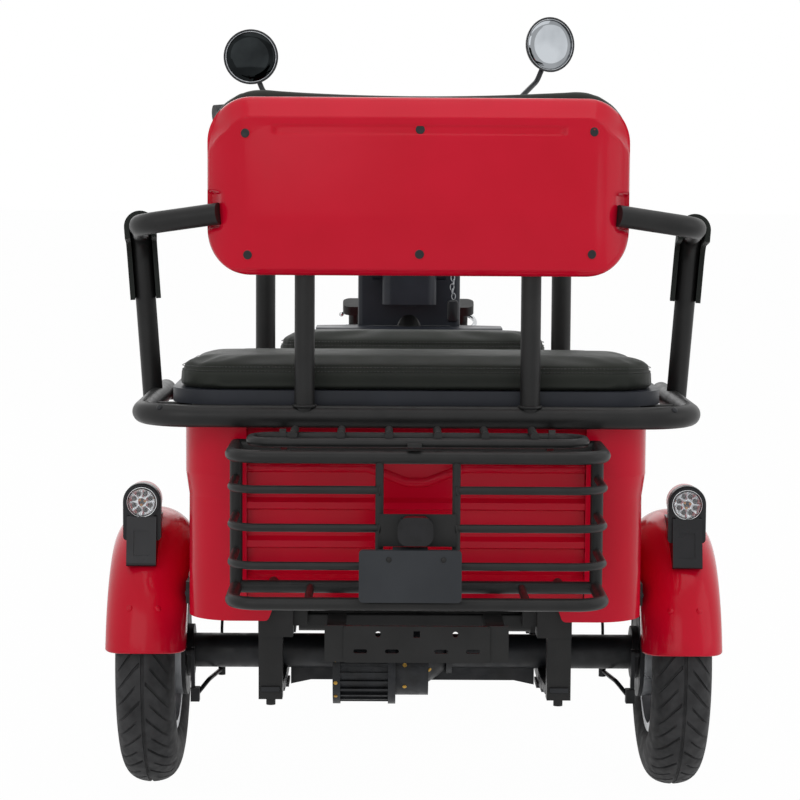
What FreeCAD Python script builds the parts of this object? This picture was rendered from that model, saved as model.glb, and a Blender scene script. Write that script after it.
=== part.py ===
import FreeCAD, Part
import math
import os

# Electric tricycle: one steered wheel in front, a driven axle behind, a rider's seat over the
# battery box and a rear bench over a trunk. Lengths are millimetres. X points right, Y forward
# and Z up, and every Y is measured from the rear axle until a piece is saved.

Vec = FreeCAD.Vector

# Wheels and axles
wheelbase = 1150.0
rear_track = 712.0
tyre_radius = 180.0
tyre_width = 80.0
tyre_flats = 60
bead_radius = 101.5
rim_lip_radius = 110.0
rim_width = 63.0
rim_wall = 4.0
hub_radius = 36.0
drum_radius = 60.0
drum_depth = 27.0
half_shaft_radius = 12.0
shaft_clearance = 0.05
front_axle_radius = 7.0
spoke_count = 5

# Steering
steer_rake = 20.0
wheel_offset = 33.0
fork_leg_x = 95.0
fork_leg_radius = 15.0
stanchion_radius = 10.0
fork_spring_radius = 27.0
fork_yoke_z = 456.0
head_tube_z = 480.0
head_tube_length = 160.0
head_tube_radius = 20.0
neck_radius = 20.0
stem_radius = 15.0
handlebar_z = 806.0
handlebar_half = 325.0
handlebar_radius = 11.0

# Rear axle group
axle_tube_radius = 23.5
axle_tube_half = 309.0
flange_radius = 36.0
spring_x = 185.0
spring_width = 24.0
leaf_thickness = 6.0
spring_half_length = 230.0
spring_rise = 21.0
hanger_wall = 3.0
hanger_depth = 24.0
gearbox_x = (-24.0, 20.0)
gearbox_radius = 56.0
motor_radius = 49.0
motor_length = 74.0
motor_centre = (-75.0, 172.0)
brake_lever_x = 300.0
brake_lever_y = -44.0

# Fenders
rear_fender_radius = 198.0
rear_fender_width = 106.0
front_fender_radius = 200.0
front_fender_width = 104.0
front_fender_start = 22.0
fender_wall = 3.0

# Frame
rail_x = 156.0
rail_width = 36.0
rail_height = 30.0
rail_top = 288.0
floor_rail_top = 224.0

# Rear body and trunk
body_half = 295.0
body_rear_y = -272.0
body_front_y = 95.0
body_bottom_z = 270.0
body_top_z = 517.0
body_corner = 60.0
body_wall = 4.0
waist_low_z = 426.0
waist_high_z = 456.0
waist_step = 4.0
lobe_inner_x = 179.0
rear_panel_half = 214.0
rear_panel_y = -258.0
rear_panel_low_z = 296.0
rib_heights = (418.0, 369.0, 320.0)
top_rib_z = 465.0
top_rib_dip = 18.0
rib_depth = 9.0
trunk_floor_z = 288.3
hinge_radius = 5.0
hinge_pin_radius = 2.5
bench_hinge_y = 101.0

# Bench and the tubes round it
bench_half = 310.0
bench_rear_y = -285.0
bench_front_y = 95.0
bench_corner = 62.0
bench_base_z = 547.0
bench_base_height = 18.0
bench_cushion_height = 38.0
seat_tube_radius = 14.0
seat_tube_z = 535.0
seat_tube_x = 346.0
seat_tube_y = -310.0
seat_tube_bend = 65.0

# Backrests
backrest_half = 261.0
backrest_bottom_z = 711.0
backrest_top_z = 929.0
backrest_corner = 55.0
backrest_rear_y = -345.0
backrest_front_y = -297.0
backrest_bevel = 27.0
backrest_flat_half = 180.0
backrest_side_bend = 100.0
backrest_crease_z = 783.0
backrest_post_x = 140.0
backrest_post_radius = 12.5
arm_tube_radius = 13.5
arm_start = (245.0, -320.0, 786.0)
arm_rear = (346.0, -285.0, 771.0)
arm_front = (366.0, -75.0, 757.0)
arm_foot = (352.0, -55.0, seat_tube_z)
arm_rear_bend = 40.0
arm_front_bend = 45.0
arm_pad_wall = 6.5
arm_pad_skirt = 14.0
arm_pad_reach = 160.0
arm_pad_drop = 88.0
rider_post_x = 212.0
rider_post_radius = 14.0

# Rack
rack_half = 225.0
rack_rear_y = -430.0
rack_front_y = -306.0
rack_top_z = 498.5
rack_bottom_z = 321.0
rack_loop_radius = 8.0
rack_rod_radius = 5.0
rack_corner = 34.0
lid_half = 202.0
lid_radius = 6.0
lid_z = 514.0
lid_hinge_y = -349.0

# Rider's place and floor
rider_seat_half = 200.0
rider_seat_rear_y = 180.0
rider_seat_front_y = 520.0
rider_seat_z = 560.0
floor_z = 224.3
floor_half = 240.0
floor_front_y = 850.0
seat_box_half = 150.0
seat_box_rear_y = 200.0
seat_box_front_y = 500.0
seat_hinge_y = 506.0
seat_hinge_z = 554.5

# Fits and overall reach
seat_gap = 0.3
plate_reach = 466.0
front_reach = front_fender_radius * math.cos(math.radians(front_fender_start))
rear_axle_y = (plate_reach - wheelbase - front_reach) / 2
axle_z = tyre_radius
rake = math.radians(steer_rake)


def save(name, *shapes):
    """Writes one node, moved from the rear axle's frame to the middle of the footprint."""
    whole = shapes[0].copy() if len(shapes) == 1 else Part.makeCompound(list(shapes))
    whole.translate(Vec(0, rear_axle_y, 0))
    whole.exportStep("parts/%s.step" % name)


def mirrored(shape):
    """The same shape on the other side of the tricycle's middle plane."""
    return shape.mirror(Vec(0, 0, 0), Vec(1, 0, 0))


def both_sides(shape):
    return [shape, mirrored(shape)]


def joined(shapes):
    """One solid from shapes that meet."""
    whole = shapes[0].multiFuse(shapes[1:])
    return whole.removeSplitter()


def cut(shape, *tools):
    for tool in tools:
        shape = shape.cut(tool)
    return shape


def block(x, y, z):
    """A box from three (low, high) pairs."""
    size = [pair[1] - pair[0] for pair in (x, y, z)]
    return Part.makeBox(size[0], size[1], size[2], Vec(x[0], y[0], z[0]))


def rod(start, end, radius):
    start = Vec(*start)
    span = Vec(*end) - start
    return Part.makeCylinder(radius, span.Length, start, span)


def corner_arc(corner, before, after, radius):
    """The tangent arc that rounds one corner of a route."""
    back = (before - corner).normalize()
    ahead = (after - corner).normalize()
    half = back.getAngle(ahead) / 2
    reach = radius / math.tan(half)
    middle = (back + ahead).normalize() * (radius / math.sin(half) - radius)
    return corner + back * reach, corner + middle, corner + ahead * reach


def route(points, bends, closed=False):
    """Straight runs joined by tangent arcs; bends holds one radius for each corner."""
    points = [Vec(*p) for p in points]
    count = len(points)
    if not isinstance(bends, (list, tuple)):
        bends = [bends] * count
    elif not closed:
        bends = [0] + list(bends) + [0]
    stops = []
    arcs = []
    for i, point in enumerate(points):
        if bends[i] <= 0 or (not closed and i in (0, count - 1)):
            stops.append((point, point))
            arcs.append(None)
            continue
        first, middle, last = corner_arc(point, points[i - 1], points[(i + 1) % count], bends[i])
        stops.append((first, last))
        arcs.append(Part.Arc(first, middle, last).toShape())
    edges = []
    for i in range(count):
        if arcs[i] is not None:
            edges.append(arcs[i])
        if i == count - 1 and not closed:
            break
        start = stops[i][1]
        end = stops[(i + 1) % count][0]
        if (end - start).Length > 0.001:
            edges.append(Part.LineSegment(start, end).toShape())
    return Part.Wire(Part.__sortEdges__(edges))


def bent_tube(points, bends, radius):
    """A round bar along a route of runs and arcs."""
    spine = route(points, bends)
    start = Vec(*points[0])
    heading = Vec(*points[1]) - start
    ring = Part.Wire(Part.makeCircle(radius, start, heading))
    return spine.makePipeShell([ring], True, False)


def slab(points, bends, thickness):
    """A flat outline with rounded corners, pushed along a vector."""
    return Part.Face(route(points, bends, True)).extrude(Vec(*thickness))


def rounded_plan(x, y, z, radius):
    """A block whose four upright edges are rounded."""
    corners = [(x[0], y[0], z[0]), (x[1], y[0], z[0]), (x[1], y[1], z[0]), (x[0], y[1], z[0])]
    return slab(corners, radius, (0, 0, z[1] - z[0]))


def rounded_back(x, y, z, radius):
    """A block whose four edges along Y are rounded."""
    corners = [(x[0], y[0], z[0]), (x[1], y[0], z[0]), (x[1], y[0], z[1]), (x[0], y[0], z[1])]
    return slab(corners, radius, (0, y[1] - y[0], 0))


def section(steps):
    """A closed (x, r) outline: each step is a point, or a mid point and an end point of an arc."""
    edges = []
    here = Vec(steps[0][0], 0, steps[0][1])
    for step in steps[1:] + steps[:1]:
        if len(step) == 4:
            middle = Vec(step[0], 0, step[1])
            there = Vec(step[2], 0, step[3])
            edges.append(Part.Arc(here, middle, there).toShape())
        else:
            there = Vec(step[0], 0, step[1])
            edges.append(Part.LineSegment(here, there).toShape())
        here = there
    return Part.Face(Part.Wire(edges))


def turned(face, centre, start=0.0, sweep=360.0):
    """A section turned about the X axis through a centre; angles run up from straight ahead."""
    solid = face.revolve(Vec(0, 0, 0), Vec(1, 0, 0), sweep)
    solid.rotate(Vec(0, 0, 0), Vec(1, 0, 0), start - 90)
    solid.translate(Vec(*centre))
    return solid


def tyre(centre):
    """A scooter tyre: straight beads, bulged walls and a round crown, in flats round the axle."""
    bead_half = rim_width / 2 - rim_wall - seat_gap
    # Inset from the widest point, depth below the crown
    walls = ((4, 58), (0, 40), (1, 25), (6, 15), (20, 4.5))
    right = [(bead_half, bead_radius + seat_gap), (bead_half, rim_lip_radius - 1)]
    right += [(tyre_width / 2 - inset, tyre_radius - depth) for inset, depth in walls]
    left = [(-x, radius) for x, radius in reversed(right)]
    outline = right + [(0, tyre_radius)] + left
    # The middle of each flat lies at the named radius, and one flat stands on the ground
    half_turn = math.pi / tyre_flats
    rings = []
    for k in range(tyre_flats):
        angle = half_turn * (2 * k + 1)
        rings.append([Vec(x, radius * math.cos(angle) / math.cos(half_turn),
                          radius * math.sin(angle) / math.cos(half_turn)) for x, radius in outline])
    faces = []
    for k in range(tyre_flats):
        this, last = rings[k], rings[k - 1]
        for i in range(len(outline)):
            flat = Part.makePolygon([last[i - 1], last[i], this[i], this[i - 1], last[i - 1]])
            faces.append(Part.Face(flat))
    skin = Part.makeShell(faces)
    skin.sewShape()
    solid = Part.makeSolid(skin)
    solid.translate(Vec(*centre))
    return solid


def rim_barrel():
    """The rolled rim: a seat for each bead and a curled lip at either side."""
    half = rim_width / 2
    inner = bead_radius - rim_wall
    lip = rim_lip_radius
    shape = section([
        (-half, inner),
        (-half, lip - 2),
        (-half + rim_wall / 2, lip, -half + rim_wall, lip - 2),
        (-half + rim_wall, bead_radius),
        (half - rim_wall, bead_radius),
        (half - rim_wall, lip - 2),
        (half - rim_wall / 2, lip, half, lip - 2),
        (half, inner),
    ])
    return turned(shape, (0, 0, 0))


def spoked_disc(face_x, thickness):
    """The cast disc between hub and barrel, with a rounded window between each two spokes."""
    disc = rod((face_x - thickness, 0, 0), (face_x, 0, 0), bead_radius - 2)
    window_inner = hub_radius + 12
    window_outer = bead_radius - 12
    half_step = math.pi / spoke_count
    spoke_half = 9.0
    points = []
    for radius, side in ((window_inner, -1), (window_outer, -1), (window_outer, 1), (window_inner, 1)):
        angle = side * (half_step - math.asin(spoke_half / radius))
        points.append((face_x - thickness - 1, radius * math.cos(angle), radius * math.sin(angle)))
    window = slab(points, 6, (thickness + 2, 0, 0))
    windows = []
    for i in range(spoke_count):
        copy = window.copy()
        copy.rotate(Vec(0, 0, 0), Vec(1, 0, 0), 360.0 / spoke_count * i)
        windows.append(copy)
    return cut(disc, *windows)


def rear_rim():
    """The right wheel's metal, seen from the wheel's middle: barrel, disc, drum and half shaft."""
    disc_face = 12.0
    drum_start = -14.0
    drum_end = drum_start - drum_depth
    shaft_end = axle_tube_half - rear_track / 2 - 45
    hub = rod((drum_start, 0, 0), (disc_face + 12, 0, 0), hub_radius)
    cap = rod((disc_face + 12, 0, 0), (disc_face + 20, 0, 0), hub_radius - 14)
    drum_shell = rod((drum_end, 0, 0), (drum_start + 6, 0, 0), drum_radius)
    drum_hollow = rod((drum_end - 1, 0, 0), (drum_start, 0, 0), drum_radius - 5)
    shaft = rod((shaft_end, 0, 0), (0, 0, 0), half_shaft_radius)
    return joined([rim_barrel(), spoked_disc(disc_face, 9), hub, cap, cut(drum_shell, drum_hollow),
                   shaft])


def front_rim():
    """The front wheel's metal: barrel, disc and a hub bored for the axle."""
    hub_half = 34.0
    hub = rod((-hub_half, 0, 0), (hub_half, 0, 0), hub_radius)
    web = spoked_disc(5, 10)
    bore = rod((-hub_half - 1, 0, 0), (hub_half + 1, 0, 0), front_axle_radius + shaft_clearance)
    return cut(joined([rim_barrel(), web, hub]), bore)


def save_wheels():
    front_centre = (0, wheelbase, axle_z)
    front = front_rim()
    front.translate(Vec(*front_centre))
    save("front_rim", front)
    save("front_tyre", tyre(front_centre))
    right_centre = (rear_track / 2, 0, axle_z)
    right = rear_rim()
    right.translate(Vec(*right_centre))
    save("rim_right", right)
    save("rim_left", mirrored(right))
    save("tyre_right", tyre(right_centre))
    save("tyre_left", mirrored(tyre(right_centre)))


def leaf(order, gap=0.0):
    """One bowed leaf of the right spring; order 0 is the longest, on top of the pack."""
    main_radius = (spring_half_length ** 2 + spring_rise ** 2) / (2 * spring_rise)
    top_z = axle_z - axle_tube_radius - seat_gap
    half_length = (spring_half_length + hanger_depth / 2 + 4) * (1, 0.66, 0.36)[order]
    inner = main_radius + order * (leaf_thickness - 0.2)
    half_width = spring_width / 2 + gap
    corners = []
    middles = []
    for radius in (inner - gap, inner + leaf_thickness + gap):
        angle = math.asin(half_length / radius)
        rise = radius * (1 - math.cos(angle))
        low = top_z + main_radius - radius
        corners.append((Vec(0, -half_length, low + rise), Vec(0, half_length, low + rise)))
        middles.append(Vec(0, 0, low))
    (a, b), (c, d) = corners
    edges = [Part.Arc(a, middles[0], b).toShape(), Part.LineSegment(b, d).toShape(),
             Part.Arc(d, middles[1], c).toShape(), Part.LineSegment(c, a).toShape()]
    shape = Part.Face(Part.Wire(edges)).extrude(Vec(2 * half_width, 0, 0))
    shape.translate(Vec(spring_x - half_width, 0, 0))
    return shape


def save_rear_axle():
    """Axle tube with its truss, gearbox, motor, springs, brake plates and brake linkage."""
    tube = rod((-axle_tube_half, 0, axle_z), (axle_tube_half, 0, axle_z), axle_tube_radius)
    flanges = [rod((s * (axle_tube_half - 8), 0, axle_z), (s * axle_tube_half, 0, axle_z), flange_radius)
               for s in (-1, 1)]
    tube_low = axle_z - axle_tube_radius
    truss_end = spring_x - spring_width / 2 - 5
    truss = in_rear_view([(-truss_end, tube_low + 2), (-truss_end, tube_low - 23),
                          (28 - truss_end, tube_low - 17), (truss_end - 28, tube_low - 17),
                          (truss_end, tube_low - 23), (truss_end, tube_low + 2)],
                         0, (-2, 2))
    motor_y, motor_z = motor_centre
    gearbox = joined([
        rod((gearbox_x[0], -30, axle_z + 6), (gearbox_x[1], -30, axle_z + 6), gearbox_radius),
        rod((gearbox_x[0], motor_y, motor_z), (gearbox_x[1], motor_y, motor_z), motor_radius - 12),
        rod((gearbox_x[0] + 14, -30, axle_z + 6), (gearbox_x[0] + 18, -30, axle_z + 6),
            gearbox_radius + 4),
        Part.makeCone(44, 26, 26, Vec(gearbox_x[1], 0, axle_z), Vec(1, 0, 0)),
        rod((gearbox_x[1] + 26, 0, axle_z), (gearbox_x[1] + 34, 0, axle_z), 31),
    ])
    bores = []
    for s in (-1, 1):
        mouth = (s * (axle_tube_half + 1), 0, axle_z)
        bores.append(rod((s * (axle_tube_half - 48), 0, axle_z), mouth,
                         half_shaft_radius + shaft_clearance))
    housing = cut(joined([tube, truss] + flanges), gearbox, *bores)
    save("axle_housing", *housing.Solids)
    save("gearbox", gearbox)

    rib_end = gearbox_x[0] - motor_length
    rib_count = 24
    ribs = []
    for i in range(rib_count):
        rib = block((rib_end, gearbox_x[0] - 2), (-1.6, 1.6), (motor_radius - 8, motor_radius - 3))
        rib.rotate(Vec(0, 0, 0), Vec(1, 0, 0), 360.0 / rib_count * i)
        rib.translate(Vec(0, motor_y, motor_z))
        ribs.append(rib)
    body = rod((gearbox_x[0], motor_y, motor_z), (rib_end, motor_y, motor_z), motor_radius - 7)
    end_rings = [rod((x, motor_y, motor_z), (x - 10, motor_y, motor_z), motor_radius)
                 for x in (rib_end, gearbox_x[0])]
    motor = cut(joined([body] + end_rings + ribs), gearbox)
    save("motor", *motor.Solids)

    plate_x = axle_tube_half + seat_gap
    plate = rod((plate_x, 0, axle_z), (plate_x + 5, 0, axle_z), drum_radius + 1)
    plate = cut(plate, rod((plate_x - 1, 0, axle_z), (plate_x + 6, 0, axle_z), half_shaft_radius + 2))
    save("brake_plates", *both_sides(plate))

    x, y = brake_lever_x, brake_lever_y
    lever = slab([(x - 2.5, y - 7, 192), (x - 2.5, y + 7, 192), (x - 2.5, y + 5, 134),
                  (x - 2.5, y - 5, 134)],
                 4, (5, 0, 0))
    pivot = rod((x, y, 186), (plate_x - seat_gap, y, 186), 5)
    clevis = block((x - 9, x + 3), (y - 7, y + 7), (118, 137))
    arm = bent_tube([(x - 6, y, 128), (x - 20, y + 22, 143), (x - 34, 38, 146)], [14], 3)
    cable = bent_tube([(x - 34, 36, 138), (x - 34, 36, 206), (x - 38, 58, trunk_floor_z - seat_gap)],
                      [60], 2)
    nut = rod((x - 34, 36, 138), (x - 34, 36, 152), 5)
    save("brake_linkage", *both_sides(joined([lever, pivot, clevis, arm, cable, nut])))

    leaves = [leaf(order) for order in (0, 1, 2)]
    pack_low = axle_z - axle_tube_radius - 3 * leaf_thickness
    plate_half = spring_width / 2 + hanger_wall
    spring_plate = block((spring_x - plate_half, spring_x + plate_half), (-24, 24),
                         (pack_low - 5, pack_low + 1))
    save("leaf_springs", *both_sides(joined(leaves + [spring_plate])))


def in_side_view(points, bends, x):
    """A (y, z) outline pushed across from one x to another."""
    corners = [(x[0], y, z) for y, z in points]
    return slab(corners, bends, (x[1] - x[0], 0, 0))


def in_rear_view(points, bends, y):
    """An (x, z) outline pushed forward from one y to another."""
    corners = [(x, y[0], z) for x, z in points]
    return slab(corners, bends, (0, y[1] - y[0], 0))


def steered(shape):
    """Leans a shape drawn along the upright steering axis to its real rake and place."""
    moved = shape.copy()
    moved.rotate(Vec(0, 0, 0), Vec(1, 0, 0), steer_rake)
    moved.translate(steering_foot)
    return moved


def steered_point(x, y, z):
    turned_point = FreeCAD.Rotation(Vec(1, 0, 0), steer_rake).multVec(Vec(x, y, z))
    return turned_point + steering_foot


steering_foot = Vec(0, wheelbase - wheel_offset * math.cos(rake), axle_z - wheel_offset * math.sin(rake))


def neck_tube(radius):
    """The tube that rises from the floor frame, inside the knee box, to the head tube."""
    foot = (0, 785, floor_rail_top - rail_height / 2)
    head = steered_point(0, -head_tube_radius / 2, head_tube_z + 34)
    return bent_tube([foot, (0, 806, 560), head], [120], radius)


def save_main_frame():
    """Side rails, cross tubes, spring hangers and the neck with its head tube, welded together."""
    rail_low = rail_top - rail_height
    drop = rail_top - floor_rail_top
    kink_y = body_front_y + 35
    rail = in_side_view(
        [(-235, rail_low), (-235, rail_top), (kink_y, rail_top), (kink_y + drop, floor_rail_top),
         (800, floor_rail_top), (800, floor_rail_top - rail_height),
         (kink_y + drop - 12, floor_rail_top - rail_height),
         (kink_y - 12, rail_low)],
        0, (rail_x - rail_width / 2, rail_x + rail_width / 2))
    rails = both_sides(rail)
    rear_beam = in_side_view([(-212, 246), (-212, 270), (-186, 270), (-186, 246)], [9, 3, 3, 9],
                             (-rail_x + 6, rail_x - 6))
    crosses = [
        rear_beam,
        block((-rail_x, rail_x), (50, 80), (rail_low, rail_top)),
        block((-rider_post_x - 16, rider_post_x + 16), (186, 214),
              (floor_rail_top - rail_height, floor_rail_top)),
        block((-rail_x, rail_x), (470, 500), (floor_rail_top - rail_height, floor_rail_top)),
        block((-rail_x, rail_x), (770, 800), (floor_rail_top - rail_height, floor_rail_top)),
    ]
    box_half = spring_width / 2 + seat_gap + hanger_wall
    slot_z = axle_z - axle_tube_radius - leaf_thickness / 2 + spring_rise
    box_low = slot_z - 11
    hangers = []
    for y, top in ((-spring_half_length, rail_low + 24), (spring_half_length, floor_rail_top - 6)):
        box_x = (spring_x - box_half, spring_x + box_half)
        box_y = (y - hanger_depth / 2, y + hanger_depth / 2)
        hangers.append(block(box_x, box_y, (box_low, top)))
    hangers.append(block((rail_x, spring_x + box_half), (-250, -210), (246, rail_low + 24)))
    hangers.append(rod((spring_x, -spring_half_length, box_low - 9),
                       (spring_x, -spring_half_length, box_low + 1), 6))
    hangers.append(block((spring_x - 24, spring_x + 4), (-20, 20),
                         (axle_z + axle_tube_radius + 6, rail_low + 6)))
    hangers = [cut(hanger, leaf(0, seat_gap)) for hanger in hangers]
    hangers += [mirrored(hanger) for hanger in hangers]
    neck = neck_tube(neck_radius)
    head_tube = steered(rod((0, 0, head_tube_z), (0, 0, head_tube_z + head_tube_length),
                            head_tube_radius))
    bore = steered(rod((0, 0, head_tube_z - 60), (0, 0, head_tube_z + head_tube_length + 60),
                       stem_radius + shaft_clearance))
    save("main_frame", cut(joined(rails + crosses + hangers + [neck, head_tube]), bore))


def trunk_ring(half, rear_y, front_y, corner, z):
    return rounded_plan((-half, half), (rear_y, front_y), z, corner)


def body_form(inset, over):
    """The trunk's outer form, which narrows below its waist; an inset gives its inner face."""
    rings = []
    for z, step in ((body_bottom_z - over, waist_step), (waist_low_z, waist_step), (waist_high_z, 0),
                    (body_top_z + over, 0)):
        x = body_half - step - inset
        y = (body_rear_y + step + inset, body_front_y - inset)
        corners = [(-x, y[0], z), (x, y[0], z), (x, y[1], z), (-x, y[1], z)]
        rings.append(route(corners, body_corner - inset, True))
    spans = [Part.makeLoft(rings[i:i + 2], True, True) for i in range(3)]
    return joined(spans)


def save_body():
    """The trunk: two wrapped side panels, a ribbed rear panel, a front panel and a floor."""
    skin = cut(body_form(0, 0), body_form(body_wall, 1))
    tall = (body_bottom_z - 1, body_top_z + 1)
    gap_rear = block((-rear_panel_half, rear_panel_half), (body_rear_y - 1, 0), tall)
    front_half = body_half - body_corner
    gap_front = block((-front_half, front_half), (0, body_front_y + 1), tall)
    sides = cut(skin, gap_rear, gap_front).Solids
    sides.sort(key=lambda solid: solid.CenterOfMass.x)
    lobe_rear = body_rear_y + waist_step
    lobe = in_rear_view([(rear_panel_half, body_bottom_z), (lobe_inner_x + 8, body_bottom_z),
                         (lobe_inner_x, body_bottom_z + 22), (rear_panel_half, body_bottom_z + 22)],
                        [0, 7, 0, 0], (lobe_rear, lobe_rear + body_wall))
    right = joined([sides[1], lobe])
    save("body_side_right", right)
    save("body_side_left", mirrored(right))

    panel_half = rear_panel_half - seat_gap
    face = rear_panel_y
    outline = [(face + body_wall, rear_panel_low_z), (face + body_wall, body_top_z), (face, body_top_z)]
    for z in rib_heights:
        outline += [(face, z + 9), (face - rib_depth, z + 4), (face - rib_depth, z - 4), (face, z - 7)]
    outline.append((face, rear_panel_low_z))
    wall = in_side_view(outline, 0, (-panel_half, panel_half))
    dip_z = top_rib_z - top_rib_dip
    top_rib = bent_tube([(-panel_half, face, top_rib_z), (-60, face, top_rib_z), (-12, face, dip_z),
                         (12, face, dip_z),
                         (60, face, top_rib_z), (panel_half, face, top_rib_z)], [24, 20, 20, 24], 6)
    save("body_rear_panel", joined([wall, top_rib]))

    front_wall = block((-front_half + seat_gap, front_half - seat_gap),
                       (body_front_y - body_wall, body_front_y),
                       (trunk_floor_z, body_top_z))
    save("body_front_panel", front_wall)

    floor_inset = body_wall + seat_gap
    floor = trunk_ring(body_half - waist_step - floor_inset, rear_panel_y + floor_inset,
                       body_front_y - floor_inset,
                       body_corner - body_wall, (trunk_floor_z, trunk_floor_z + 3))
    save("trunk_floor", floor)


def hinge(x_middle, y, z, fixed_strap, moving_strap):
    """A three-barrel hinge: two fixed barrels with a pin, and a moving barrel between them."""
    half = 9.0
    fixed = []
    for x in ((x_middle - 3 * half, x_middle - half - seat_gap),
              (x_middle + half + seat_gap, x_middle + 3 * half)):
        barrel = rod((x[0], y, z), (x[1], y, z), hinge_radius)
        fixed += [barrel, block(x, *fixed_strap)]
    fixed.append(rod((x_middle - 3 * half, y, z), (x_middle + 3 * half, y, z), hinge_pin_radius))
    x = (x_middle - half, x_middle + half)
    barrel = rod((x[0], y, z), (x[1], y, z), hinge_radius)
    bore = rod((x[0] - 1, y, z), (x[1] + 1, y, z), hinge_pin_radius + seat_gap)
    return joined(fixed), cut(joined([barrel, block(x, *moving_strap)]), bore)


def bench_hinge():
    """The bench's right hinge, at the front edge of the ring that carries it."""
    z = bench_base_z
    return hinge(190.0, bench_hinge_y, z,
                 ((body_front_y - 24, bench_hinge_y), (z - hinge_radius, z - 1.3)),
                 ((body_front_y - 8, bench_hinge_y), (z, z + hinge_radius)))


def seat_hinge():
    """The rider's seat hinge, on the front of the battery box."""
    y, z = seat_hinge_y, seat_hinge_z
    return hinge(60.0, y, z, ((seat_box_front_y - 2, y), (z - hinge_radius, z)),
                 ((y - hinge_radius, y + hinge_radius), (z, rider_seat_z + 1)))


def save_seat_frame():
    """The tube round the bench, the ring that carries the bench and the four posts in the trunk."""
    end_y = 70.0
    rail = bent_tube([(-seat_tube_x, end_y, seat_tube_z), (-seat_tube_x, seat_tube_y, seat_tube_z),
                      (seat_tube_x, seat_tube_y, seat_tube_z), (seat_tube_x, end_y, seat_tube_z)],
                     [seat_tube_bend, seat_tube_bend], seat_tube_radius)
    ring_z = (body_top_z + seat_gap, bench_base_z - seat_gap)
    ring_half = body_half - 8
    ring = cut(
        trunk_ring(ring_half, body_rear_y + 8, body_front_y - 6, body_corner - 8, ring_z),
        trunk_ring(ring_half - 22, body_rear_y + 30, body_front_y - 28, body_corner - 30,
                   (ring_z[0] - 1, ring_z[1] + 1)))
    stubs = []
    for y in (-180.0, 40.0):
        for s in (-1, 1):
            stubs.append(rod((s * (ring_half - 8), y, 532), (s * seat_tube_x, y, 532), 9))
    posts = []
    post_inset = 43.0
    for s in (-1, 1):
        for y in (body_rear_y + post_inset, body_front_y - post_inset):
            x = s * (body_half - post_inset + 14)
            posts.append(rod((x, y, trunk_floor_z + 3 + seat_gap), (x, y, ring_z[0] + 5), 10))
    hinge_parts = both_sides(bench_hinge()[0])
    save("seat_frame", joined([rail, ring] + stubs + posts + hinge_parts))
    return rail


def rounded_slot(x, z):
    """An upright slot through the shell's side wall, for the armrest's clamp."""
    y = arm_start[1]
    return in_side_view([(y - 5, z[0]), (y + 5, z[0]), (y + 5, z[1]), (y - 5, z[1])], 4.5, x)


def shell_form(inset):
    """The backrest shell's form: where its side, plan and rear outlines meet. An inset shrinks it."""
    rear, front = backrest_rear_y + inset, backrest_front_y + (1 if inset else 0)
    low, high = backrest_bottom_z + inset, backrest_top_z - inset
    half = backrest_half - inset
    flat = backrest_flat_half
    side = in_side_view([(front, low), (rear + 16, low), (rear + 8, low + 8), (rear, backrest_crease_z),
                         (rear + 6, high - backrest_bevel), (rear + 26, high), (front, high)],
                        [0, 4, 12, 0, 4, 0, 0], (-half, half))
    curve = math.sqrt(backrest_side_bend ** 2 - (half - flat) ** 2)
    edge_y = rear + backrest_side_bend - curve
    bend_angle = math.asin((half - flat) / backrest_side_bend) / 2
    bend_x = flat + backrest_side_bend * math.sin(bend_angle)
    bend_y = rear + backrest_side_bend * (1 - math.cos(bend_angle))
    edges = [Part.LineSegment(Vec(-flat, rear, low), Vec(flat, rear, low)).toShape(),
             Part.Arc(Vec(flat, rear, low), Vec(bend_x, bend_y, low), Vec(half, edge_y, low)).toShape(),
             Part.LineSegment(Vec(half, edge_y, low), Vec(half, front, low)).toShape(),
             Part.LineSegment(Vec(half, front, low), Vec(-half, front, low)).toShape(),
             Part.LineSegment(Vec(-half, front, low), Vec(-half, edge_y, low)).toShape(),
             Part.Arc(Vec(-half, edge_y, low), Vec(-bend_x, bend_y, low),
                      Vec(-flat, rear, low)).toShape()]
    plan = Part.Face(Part.Wire(edges)).extrude(Vec(0, 0, high - low))
    outline = rounded_back((-half, half), (rear - 1, front), (low, high), backrest_corner)
    return side.common(plan).common(outline)


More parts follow.
